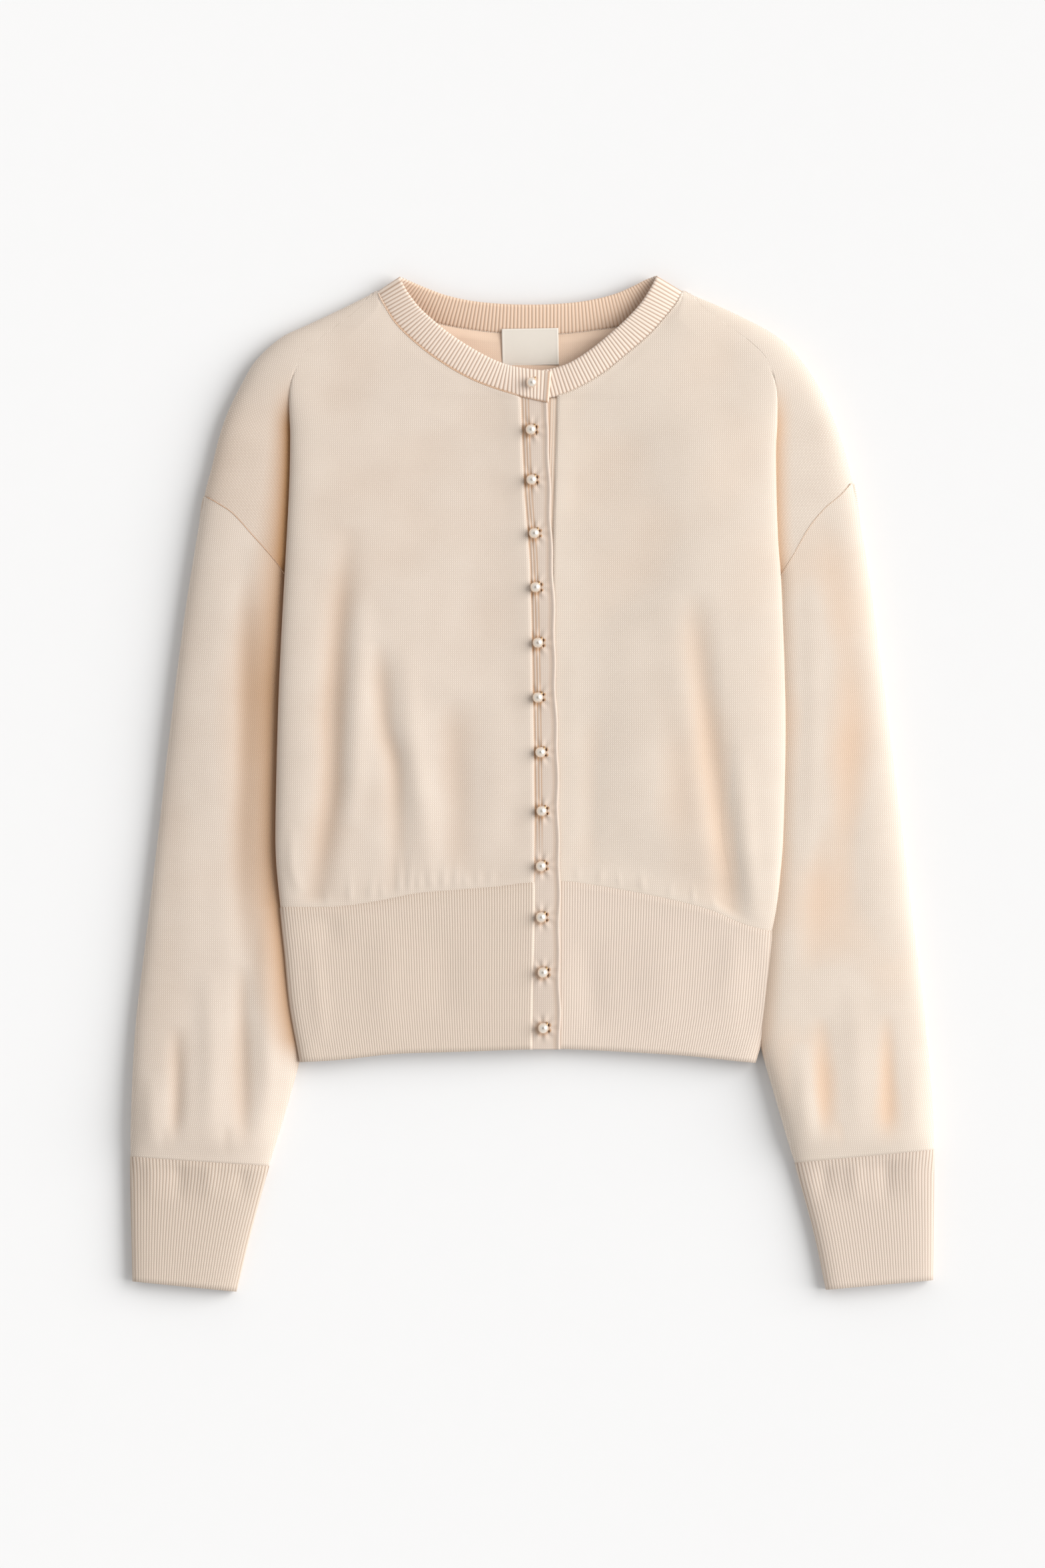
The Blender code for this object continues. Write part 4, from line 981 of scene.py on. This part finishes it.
def makeCuff(side):
    ends = cuffLine[side]
    v = np.linspace(0, 1, cuff["rows"])[:, None]
    yOuter, yInner = (mix(ends["top"][i], ends["end"][i], v) for i in (0, 1))
    points = sleeveRings(side, yOuter, yInner, 0 * v, *cuff["columns"])
    points = evenColumns(points, cuff["ribs"] * cuff["pointsPerRib"], closed=True)
    count = np.linspace(0, cuff["ribs"], points.shape[1] + 1)[None, :] + 0 * v
    uv = np.stack([count * ribs["cuffPitch"],
                   np.concatenate([points[..., 1], points[:, :1, 1]], axis=1)], axis=2)
    points = turned(points, side)
    normal = outward(points, side, closed=True)
    folds = [([(x * signs[side], y) for y in (-236, -256, -276)], 6, height)
             for x, height in cuff["folds"]]
    facing = np.clip(normal[..., 2], 0, 1)
    points[..., 2] += foldHeight(folds, points[..., 0], points[..., 1]) * facing * ease(v * 14)
    relief = ribs["cuffDepth"] * (ribProfile(count[:, :-1]) - 0.5)
    onFloor = ease((points[..., 2] - 0.6) / 1.5)
    points = points + normal * (relief * onFloor)[..., None]
    inside = points[:1] - normal[:1] * cuff["turnIn"][0] + np.array([0, cuff["turnIn"][1], 0])
    points, uv = np.concatenate([inside, points]), np.concatenate([uv[:1], uv])
    points[..., 2] = np.maximum(points[..., 2], 0)
    piece = makeSheet(f"cuffRib_{side}", points, uv, cuffRib[side], cardigan["ribWall"], closed=True,
                      flip=side == "right")
    sheetOf(piece, f"cuff_{side}")


sleeves = {side: makeSleeve(side) for side in ("right", "left")}
for side in ("right", "left"):
    makeCuff(side)
print("sleeves and cuffs laid")

neck = {
    "pointsPerRib": 6,
    "rows": 12,
    "crown": 0.55,
    "endBead": 0.75,          # the folded end at the closure stands up, then drops
    "endDrop": 1.1,
    "backPaintedGlow": 0.4,
}


def makeNeckband():
    stations, at, steps = neckStations(1200)
    ribCount = int(round(at[-1] / ribs["neckPitch"]))
    columns = ribCount * neck["pointsPerRib"] + 1
    stations, at, steps = neckStations(columns)
    v = np.linspace(0, 1, neck["rows"])[:, None]
    x, y = mix(stations[:, 0], stations[:, 2], v), mix(stations[:, 1], stations[:, 3], v)
    z = mix(stations[:, 4], stations[:, 5], v) + neck["crown"] * np.sin(math.pi * v) ** 0.6
    z = z + neck["endBead"] * np.exp(-(at - 1.5) ** 2) - neck["endDrop"] * np.clip(1 - at, 0, 1) ** 2
    points = np.stack([x, y, z], axis=2)
    count = np.linspace(0, ribCount, columns)[None, :] + 0 * x
    normal = normals(points)
    up = np.clip(normal[..., 2] * 3, -1, 1)
    depth = ribs["neckDepth"] * ease((at - 1.5) / 2)
    points = points + normal * (up * depth * (ribProfile(count) - 0.5))[..., None]
    across = lengthAlong(points, 0)
    uv = np.stack([count * ribs["neckPitch"], across], axis=2)
    start, end = (steps[cardigan["neckTurns"][side]] for side in ("right", "left"))
    # painted bounce light on the back of the band, inside the neck
    paintedLightAndBorder = neck["backPaintedGlow"] * ease((at - start) / 12) * ease((end - at) / 12) + 0 * x
    piece = makeSheet("neckbandRib", points, uv, neckRib, cardigan["ribWall"], paintedLightAndBorder=paintedLightAndBorder, offset=0.0)
    sheetOf(piece, "neckband")

makeNeckband()
print("neckband ribbed")

bands = {
    "columns": 38,
    "rows": 480,
    "wall": 1.3,
    "lines": [(0.6, 0.28), (2.6, 0.24), (4.6, 0.2)],     # distance from the seam, height
    "lineFade": 0.35,                                     # what is left of the lines low down
    "lip": (1.5, 0.7),                                   # width and height of the folded edge
    "slitHalf": 0.5,                                      # half width of an open slit
    "slitShut": 0.27,                                     # what it closes by at its ends
    "gapes": [(1.75, 1.15), (-1.9, 1.05)],                # where it opens: middle, half length
    "slitAway": (3.5, 0.2),                               # from the pearl's middle
    "slitRim": 0.4,
    "spokes": (7, 0.33, 6, 3.2),       # puckers round a pearl: count, height, distance, spread
    "dimple": (0.35, 4.2),
    "shade": (0.55, 3.7, 1.5),         # shade round a pearl: strength, distance, spread
    "waver": 0.35,                                        # unevenness of the free edge
    "wave": 0.21,                                         # and of its face
    "underRows": 140,
    "underColumns": 40,
    "underLines": (0.9, 2.6, 4.3),
}
pearlBoxes = [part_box(f"pearl_{i + 1:02d}") for i in range(13)]
pearls = [((low + high) / 2 / mm, (high.x - low.x) / 2 / mm) for low, high in pearlBoxes]


# a slit gapes above and below the loop that crosses it
def slitReach(away):
    gape = 0 * away
    for middle, half in bands["gapes"]:
        gape = gape + np.clip(1 - ((away - middle) / half) ** 2, 0, 1) ** 0.5
    return gape


slits = [(c.x + bands["slitAway"][0], c.y + bands["slitAway"][1]) for c, r in pearls[1:]]


def slitWarp(x, y):
    shift = np.zeros_like(x)
    rim = np.zeros_like(x)
    for cx, cy in slits:
        reach = slitReach(y - cy)
        shut = bands["slitShut"] * ease(2.6 - np.abs(y - cy) / 1.8)
        shift += np.sign(x - cx) * (bands["slitHalf"] * reach - shut) * bell(x - cx, 2.2)
        # the rim both raises the cloth and sets how much painted shade the slit's edges get
        rim += bands["slitRim"] * reach * bell(np.abs(x - cx) - 0.9, 0.7)
    return shift, rim


def puckers(x, y):
    height = np.zeros_like(x)
    count, rise, middle, spread = bands["spokes"]
    depth, reach = bands["dimple"]
    for i, (centre, radius) in enumerate(pearls):
        dx, dy = x - centre.x, y - centre.y
        away = np.hypot(dx, dy)
        spokes = np.cos(np.arctan2(dy, dx) * count + i * 1.3)
        height += rise * spokes * bell(away - middle, spread)
        height -= depth * bell(away, reach)
    return height


def makeButtonholeBand():
    end = float(lineAt("hemEnd", "right", 0))
    y = np.linspace(251.9, end, bands["rows"])[:, None]
    seam, free = (along(cardigan["buttonholeBand"], y, column) for column in (1, 2))
    free = free + bands["waver"] * (np.sin(y / 6.1 + 1) + 0.7 * np.sin(y / 14.3)) * ease((246 - y) / 12)
    t = np.linspace(0, 1, bands["columns"])[None, :]
    x = mix(seam, free, t)
    yy = y + (4.2 - (x + 9) * 0.228) * ease((y - 232) / 19)      # the top end follows the neckband
    for cx, cy in slits:                         # a pair of columns straddles each buttonhole
        near = np.exp(-((yy - cy) / 12) ** 6)
        step = (free - seam) / (bands["columns"] - 1)
        place = (cx - seam) / step
        row = np.argmin(np.abs(y[:, 0] - cy))
        off = (np.floor(place[row, 0]) + 0.5 - place) * step
        x = x + off * near * np.clip(1 - np.abs(x - cx) / 8, 0, 1)
    shift, rim = slitWarp(x, yy)
    holes = np.zeros((bands["rows"] - 1, bands["columns"] - 1), bool)
    for cx, cy in slits:
        holes |= (slitReach(yy[:-1, :-1] - cy) > 0.1) & (x[:-1, :-1] < cx) & (x[:-1, 1:] >= cx)
    fromSeam, fromFree = x - seam, free - x
    z = bandTop(yy) + 0.25 * np.sin(math.pi * t) + rim
    # painted shade in the grooves beside the raised seam lines
    grooveShade = 0 * x
    fade = mix(bands["lineFade"], 1, ease((yy + 60) / 60))
    for away, height in bands["lines"]:
        z = z + height * bell(fromSeam - away, 0.55) * fade
        grooveShade = grooveShade + 0.75 * bell(fromSeam - away - 1.0, 0.42)
    width, height = bands["lip"]
    z = z + height * bell(fromFree - 0.9, width) - np.clip(1 - fromFree / 0.9, 0, 1) ** 2
    z = z + puckers(x, yy) - 1.4 * ease((y - 251.2) / 0.6)
    z = z + bands["wave"] * np.sin(yy / 11.3 + 0.6) * np.sin(yy / 27.0) * ease(fromSeam / 5)
    ring = 0 * x
    strength, middle, spread = bands["shade"]
    for centre, radius in pearls:
        away = np.hypot(x - centre.x + 0.6, yy - centre.y + 0.5)
        ring = ring + strength * bell(away - middle, spread)
    # painted shade beside the folded free edge
    beside = 0.22 * bell(fromFree - 3.6, 1.2)
    # all painted shade: grooves, slit rims, round each pearl and beside the folded edge
    paintedLightAndBorder = np.clip(grooveShade * ease((yy + 60) / 40) + rim * 2.4 + ring + beside, 0, 0.9)
    piece = makeSheet("buttonholeBand", np.stack([x + shift, yy, z], axis=2), np.stack([x, yy], axis=2),
                      jersey["band"], bands["wall"], paintedLightAndBorder=paintedLightAndBorder, holes=holes)
    sheetOf(piece, "buttonhole_band")


def makeButtonBand():
    end = float(lineAt("hemEnd", "right", 0))
    y = np.linspace(253.2, end, bands["underRows"])[:, None]
    seam, free = (along(cardigan["buttonBand"], y, column) for column in (1, 2))
    t = np.linspace(0, 1, bands["underColumns"])[None, :]
    x = mix(free, seam, t)
    fromSeam = seam - x
    z = bandTop(y) - 2.4 - 1.3 * ease((y - 252.5) / 0.6) + 0 * x
    # painted shade in the grooves beside the raised lines
    grooveShade = 0 * x
    for away in bands["underLines"]:
        z = z + 0.45 * bell(fromSeam - away, 0.55)
        grooveShade = grooveShade + 0.6 * bell(fromSeam - away - 0.85, 0.4)
    points = np.stack([x, y + 3.0 * t * ease((y - 244) / 8), z], axis=2)
    # painted shade in the grooves, and under the overlapping buttonhole band
    paintedLightAndBorder = np.clip(grooveShade * 0.7 + 0.35 * ease((fromSeam - 4) / 2), 0, 0.7)
    for cx, cy in slits:                         # what shows through a buttonhole is deep in shade
        paintedLightAndBorder = np.maximum(paintedLightAndBorder, ease((6 - np.hypot(x - cx, y - cy)) / 2))
    piece = makeSheet("buttonBand", points, points[..., :2], jersey["left"], bands["wall"], paintedLightAndBorder=paintedLightAndBorder)
    sheetOf(piece, "button_band")


jersey["band"] = jerseyMaterial("band jersey", (0.965, 0.955, 0.965))
makeButtonholeBand()
makeButtonBand()
print("front bands joined")

back = {"rows": 60, "columns": (70, 30), "height": 1.25, "lowest": 1.15, "wall": 1.1, "paintedLightAndBorder": 0.4}


def makeBack():
    shape = cardigan
    inner = shape["sideSeam"] - 0.1
    neckRows, at, steps = neckStations(1600)
    parts = []
    for side in ("right", "left"):
        sign = signs[side]
        turnAt = steps[shape["neckTurns"][side]]
        start, end = (turnAt + 6, steps[17]) if side == "right" else (steps[15], turnAt - 6)
        chosen = (at > start) & (at < end) & (sign * neckRows[:, 0] > 0) & (np.abs(neckRows[:, 1]) < 321)
        rim = neckRows[chosen]
        order = np.argsort(np.abs(rim[:, 0]))
        rimX, rimY = np.abs(rim[order, 0]), rim[order, 1] - 0.3
        ys = np.linspace(316, 190, 120)
        nx, ny = outlineNormal(side, ys)
        inset = shape["edgeRun"] + 1.0
        outX, outY = lineAt("outline", side, ys) + nx * inset, ys + ny * inset
        x = np.concatenate([np.linspace(0, inner, back["columns"][0]),
                            np.linspace(inner + 1.2, outX.max() - 1, back["columns"][1])])
        top = np.where(x < rimX.max(), np.interp(x, rimX, rimY), np.interp(x, outX, outY))
        bottomHem = straightRibTop(sign * x) + 0.3
        low = shape["armhole"][side][-1][0]
        bottomArm = np.maximum(armholeY(side, x) + 0.6, low - 16 + (x - inner) * 0.5)
        bottom = np.where(x > inner + 0.6, bottomArm, bottomHem)
        parts.append(np.stack([sign * x, bottom, np.maximum(top, bottom + 2)], axis=1))
    line = np.concatenate([parts[0][:0:-1], parts[1]])
    t = np.linspace(1, 0, back["rows"])[:, None]
    x, y = line[:, 0] + 0 * t, mix(line[:, 1], line[:, 2], t)
    z = back["height"] + 0.25 * ripple(x, y, 11) * ease((line[:, 2] - y) / 10)
    points = np.stack([x, y, np.maximum(z, back["lowest"])], axis=2)
    # painted bounce light all over the back, seen inside the neck
    piece = makeSheet("backPanel", points, points[..., :2], jersey["back"], back["wall"],
                      paintedLightAndBorder=back["paintedLightAndBorder"] + 0 * x, flip=True)
    sheetOf(piece, "back_panel")


makeBack()
print("back laid")

label = {
    "columns": 60,
    "rows": 40,
    "wall": 0.5,
    "size": (37.5, 24.5),
    "rise": 4.6,              # degrees, towards the neck seam
    "turn": 1.0,
    "border": 1.1,
    "threads": (0.34, 0.5),   # spacing of warp and weft
    "color": (0.80, 0.735, 0.65),
    "borderColor": (0.86, 0.80, 0.72),
    "stitchColor": (0.60, 0.49, 0.38),
}


def labelMaterial():
    bench = Bench("label satin")
    u, v = bench.uv()
    weave = bench.math("SINE", bench.math("MULTIPLY", u, 2 * math.pi / (label["threads"][0] * mm)))
    cross = bench.math("SINE", bench.math("MULTIPLY", v, 2 * math.pi / (label["threads"][1] * mm)))
    threads = bench.math("MULTIPLY_ADD", bench.math("MULTIPLY", weave, cross), 0.5, 0.5)
    cloudy = bench.noise(260.0, 3.0)
    color = bench.blend(bench.math("MULTIPLY_ADD", threads, 0.35, bench.math("MULTIPLY", cloudy, 0.5)),
                        tuple(c * 0.94 for c in label["color"]), label["color"])
    color = bench.blend(bench.paintedLightAndBorder(), color, label["borderColor"])
    return bench.dress(color, threads, 0.05, 0.5, Roughness=0.45, Sheen_Weight=0.15,
                        Specular_IOR_Level=0.45, Anisotropic=0.3)


def makeLabel():
    low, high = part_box("neck_label")
    centre = (low + high) / 2 / mm
    width, height = label["size"]
    u, v = np.meshgrid(np.linspace(-0.5, 0.5, label["columns"]), np.linspace(0.5, -0.5, label["rows"]))
    x, y = u * width, v * height
    edge = np.minimum(np.minimum(width / 2 - np.abs(x), height / 2 - np.abs(y)), 2)
    half = label["border"] / 2
    border = np.clip(1 - np.abs(edge - half) / half, 0, 1)
    z = 0.18 * border + 0.22 * np.sin(x / 13 + 0.5) * np.cos(y / 15) - 0.1 * np.clip(1 - edge / 0.4, 0, 1)
    z = z + 0.4 * (np.abs(u) * 2) ** 3 * ease((0.2 - v) / 0.6)
    rise, turn = math.radians(label["rise"]), math.radians(label["turn"])
    y, z = y * math.cos(rise) - z * math.sin(rise), y * math.sin(rise) + z * math.cos(rise)
    x, y = x * math.cos(turn) - y * math.sin(turn), x * math.sin(turn) + y * math.cos(turn)
    points = np.stack([x + centre.x, y + centre.y, z + centre.z + 0.3], axis=2)
    uv = np.stack([u * width, v * height], axis=2)
    piece = makeSheet("neckLabel", points, uv, labelMaterial(), label["wall"], paintedLightAndBorder=border * 0.8)
    sheetOf(piece, "neck_label")
    return points


labelPoints = makeLabel()
print("label sewn in")

def plainYarn(name, color):
    bench = Bench(name)
    grain = bench.noise(2400.0, 2.0)
    color = bench.blend(grain, tuple(c * 0.85 for c in color), color)
    return bench.dress(color, grain, 0.05, 0.5, Roughness=0.7, Sheen_Weight=0.2)


# small loops of yarn set side by side along a line; turn is their angle to it, in degrees
def makeStitches(name, path, material, pitch, long, thick, turn=0.0, slot="jersey"):
    path = np.array(path, float)
    run = np.concatenate([[0], np.cumsum(np.linalg.norm(np.diff(path, axis=0), axis=1))])
    at = np.arange(pitch / 2, run[-1], pitch)
    centre, after, before = (np.stack([np.interp(at + step, run, path[:, c]) for c in range(3)], axis=1)
                             for step in (0, 0.3, -0.3))
    ahead = after - before
    ahead /= np.linalg.norm(ahead, axis=1, keepdims=True)
    aside = np.cross([0, 0, 1], ahead)
    aside /= np.maximum(np.linalg.norm(aside, axis=1, keepdims=True), 1e-6)
    up = np.cross(ahead, aside)
    angle = math.radians(turn)
    lengthways = ahead * math.cos(angle) + aside * math.sin(angle)
    sideways = -ahead * math.sin(angle) + aside * math.cos(angle)
    points, faces = [], []
    around, stacks = 6, 4
    for c, a, b, n in zip(centre, lengthways, sideways, up):
        start = len(points)
        points.append(c - a * long)
        for s in range(1, stacks):
            phi = math.pi * s / stacks
            for k in range(around):
                theta = 2 * math.pi * k / around
                points.append(c - a * long * math.cos(phi)
                              + (b * math.cos(theta) + n * math.sin(theta)) * thick * math.sin(phi))
        points.append(c + a * long)
        top = len(points) - 1
        for k in range(around):
            k2 = (k + 1) % around
            faces.append((start, start + 1 + k2, start + 1 + k))
            for s in range(stacks - 2):
                row = start + 1 + s * around
                faces.append((row + k, row + k2, row + around + k2, row + around + k))
            row = start + 1 + (stacks - 2) * around
            faces.append((row + k, row + k2, top))
    piece = newPiece(name, points, faces, material)
    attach(piece, "root")


# the seams are sewn with the garment's own cream yarn; the darker copies stand for the shade along the
# seams, darkest on the right side, away from the light: painted shade
creamYarn = plainYarn("cream seam yarn", (0.84, 0.72, 0.60))
halfShadedSeamYarn = plainYarn("seam yarn painted in half shade", (0.74, 0.56, 0.42))
shadedSeamYarn = plainYarn("seam yarn painted in shade", (0.58, 0.36, 0.22))
stitches = {                # stitch spacing, half length, half thickness, angle to the seam
    "neckRight": (1.3, 0.55, 0.3, 0),
    "neckLeft": (1.3, 0.6, 0.3, 52),
    "neckBack": (1.5, 0.7, 0.26, 0),
    "armhole": {"right": (1.2, 0.62, 0.3, 0), "left": (1.2, 0.62, 0.3, 40)},
    "label": (1.1, 0.3, 0.1, 0),
}


def neckSeamPath(first, last, lift):
    stations, at, steps = neckStations(1200)
    inside = (at >= steps[first]) & (at <= steps[last])
    return stations[inside][:, [0, 1, 4]] + np.array([0, 0, lift])


# the same path, lifted to lie on the cloth
def laidOn(path, pieces, lift):
    graph = bpy.context.evaluated_depsgraph_get()
    cloths = [piece.evaluated_get(graph) for piece in pieces]
    heights = []
    for x, y, z in path:
        found = [z]
        for cloth in cloths:
            for beside in (-0.7, 0.0, 0.7):
                hit = cloth.ray_cast(((x + beside) * mm, y * mm, 0.1), (0, 0, -1))
                if hit[0]:
                    found.append(hit[1].z / mm)
        heights.append(max(found))
    calm = np.convolve(np.pad(heights, 3, mode="edge"), np.ones(7) / 7, mode="valid")
    return np.column_stack([path[:, :2], np.maximum(calm, heights) + lift])


makeStitches("neckSeam_right", laidOn(neckSeamPath(0, 9, 1.15), [fronts["right"]], 0.05), shadedSeamYarn,
             *stitches["neckRight"])
makeStitches("neckSeam_left", laidOn(neckSeamPath(24, 31, 1.25), [fronts["left"]], 0.0), creamYarn,
             *stitches["neckLeft"])
makeStitches("neckSeam_back", neckSeamPath(11, 21, 1.3), creamYarn, *stitches["neckBack"])
for side, material in (("right", shadedSeamYarn), ("left", halfShadedSeamYarn)):
    y = np.linspace(cardigan["armhole"][side][0][0] - 0.5, cardigan["armhole"][side][-1][0] + 1, 80)
    x = lineAt("armhole", side, y)
    z = np.maximum(capHeight(side, x, y), cardigan["edgeHeight"])
    seam = laidOn(np.stack([signs[side] * x, y, z], axis=1), [fronts[side], sleeves[side]], 0.0)
    makeStitches(f"armholeSeam_{side}", seam, material, *stitches["armhole"][side])
lower = labelPoints[-3] + np.array([0, 0.2, 0.15])
makeStitches("labelStitch", lower[2:-2], plainYarn("label thread", label["stitchColor"]),
             *stitches["label"], slot="label")
print("seams stitched")

pearlLook = {
    "color": (0.90, 0.80, 0.70),
    "rim": (0.94, 0.85, 0.74),
    "share": 0.9,                 # of the hard pearl's radius
    "sink": 1.8,
    "wire": 0.38,
    "ring": 1.35,
    "brass": (0.46, 0.27, 0.11),
    "polished": (0.72, 0.50, 0.24),
    "bottomTilt": 14,             # degrees, of the lowest pearl only
}


# lacquer or metal with fine clouds of a second colour
def buttonMaterial(name, scale, first, second, **values):
    bench = Bench(name)
    cloud = bench.noise(scale, 2.0)
    return bench.dress(bench.blend(cloud, first, second), cloud, 0.02, 0.3, **values)


# points that turn round an axis, one ring after another; ends is "capped" or "joined"
def makeTurned(name, rings, around, material, centre, ends):
    points = [(centre[0] + x, centre[1] + y, centre[2] + z) for ring in rings for x, y, z in ring]
    count = len(rings)
    faces = []
    for r in range(count - (ends == "capped")):
        for k in range(around):
            a, b = r * around + k, r * around + (k + 1) % around
            c, d = (((r + 1) % count) * around + step for step in (k, (k + 1) % around))
            faces.append((a, b, d, c))
    if ends == "capped":
        faces.append(tuple(range(around))[::-1])
        faces.append(tuple(range((count - 1) * around, count * around)))
    return newPiece(name, points, faces, material)


def circle(count):
    return [2 * math.pi * k / count for k in range(count)]


def pearlRings(size, tilt):
    rings = []
    for s in range(27):
        phi = math.pi * (0.02 + 0.96 * s / 26)
        radius, height = size * math.sin(phi), -size * math.cos(phi)
        flat = [(radius * math.cos(theta), radius * math.sin(theta)) for theta in circle(44)]
        rings.append([(x, y * math.cos(tilt) - height * math.sin(tilt),
                       y * math.sin(tilt) + height * math.cos(tilt)) for x, y in flat])
    return rings


def loopRings(ring, wire):
    rings = []
    for phi in circle(28):
        reaches = [(wire * math.sin(theta), ring + wire * math.cos(theta)) for theta in circle(10)]
        rings.append([(x, reach * math.cos(phi) * 1.1, reach * math.sin(phi)) for x, reach in reaches])
    return rings


def makePearls():
    lacquer = buttonMaterial("pearl lacquer", 420.0, pearlLook["color"], pearlLook["rim"], Roughness=0.27,
                             Metallic=0.75, Coat_Weight=1.0, Coat_Roughness=0.05)
    brass = buttonMaterial("brass wire", 1500.0, pearlLook["brass"], pearlLook["polished"], Roughness=0.3,
                           Metallic=1.0)
    for i, (centre, radius) in enumerate(pearls):
        centre = centre - Vector((0, 0, pearlLook["sink"]))
        tilt = math.radians(pearlLook["bottomTilt"]) if i == 12 else 0.0
        pearl = makeTurned(f"pearlButton_{i + 1:02d}", pearlRings(radius * pearlLook["share"], tilt), 44,
                           lacquer, centre, "capped")
        standFor(pearl, f"pearl_{i + 1:02d}")
        low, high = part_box(f"shank_{i + 1:02d}")
        ring = (low + high) / 2 / mm
        loop = makeTurned(f"brassLoop_{i + 1:02d}", loopRings(pearlLook["ring"], pearlLook["wire"]), 10,
                          brass, (ring.x + 0.5, ring.y + 0.4, ring.z + 0.7), "joined")
        standFor(loop, f"shank_{i + 1:02d}")


makePearls()
print("pearls sewn on")

stage = {
    "floor": (0.835, 0.835, 0.835),
    "reach": 4000,                    # half the floor's side
    "sky": 0.70,
    "zenith": (0.76, 0.97, 0.22),      # the sky darkens overhead: from, to, how far
    "key": 3.4,
    "keyFrom": (1.8, 0.4, 1.18),
    "keyWidth": 54,                   # degrees
    "cameraHeight": 6.0,
    "centre": (-6.4, -0.2),
    "view": (0.690, 1.0353),
}


def makeStage():
    bench = Bench("pale floor")
    color = bench.blend(bench.noise(60.0, 2.0), tuple(c * 0.99 for c in stage["floor"]), stage["floor"])
    bench.dress(color, None, 0, 0, Roughness=0.9, Specular_IOR_Level=0.1)
    corners = [(x * stage["reach"], y * stage["reach"], 0) for x, y in ((-1, -1), (1, -1), (1, 1), (-1, 1))]
    floor = newPiece("floor", corners, [(0, 1, 2, 3)], bench.material)
    floor.location.z = -0.0006

    world = bpy.data.worlds.new("studio")
    bpy.context.scene.world = world
    world.use_nodes = True
    tree = world.node_tree
    low, high, dim = stage["zenith"]
    up = addNode(tree, "SeparateXYZ", ((0, addNode(tree, "TexCoord").outputs["Generated"]),)).outputs[2]
    limits = (("From Min", low), ("From Max", high), ("To Min", 1.0), ("To Max", dim))
    ramp = addNode(tree, "MapRange", (("Value", up), *limits), interpolation_type="SMOOTHSTEP").outputs[0]
    grey = addNode(tree, "CombineXYZ", ((0, ramp), (1, ramp), (2, ramp))).outputs[0]
    background = tree.nodes["Background"]
    background.inputs["Strength"].default_value = stage["sky"]
    tree.links.new(grey, background.inputs["Color"])

    lamp = bpy.data.lights.new("soft window", "SUN")
    lamp.angle = math.radians(stage["keyWidth"])
    lamp.energy = stage["key"]
    lamp.color = (1.0, 0.99, 0.98)
    key = placed("soft window", lamp)
    key.location = stage["keyFrom"]
    aim = -key.location.normalized()
    key.rotation_euler = aim.to_track_quat("-Z", "Y").to_euler()

    lens = bpy.data.cameras.new("camera")
    lens.sensor_fit = "VERTICAL"
    lens.sensor_height = 36
    lens.lens = 36 * stage["cameraHeight"] / stage["view"][1]
    lens.clip_end = 20
    camera = placed("camera", lens)
    camera.location = (stage["centre"][0] * mm, stage["centre"][1] * mm, stage["cameraHeight"])
    bpy.context.scene.camera = camera
    bpy.context.scene.view_settings.view_transform = "Standard"


makeStage()
print("lit and framed")
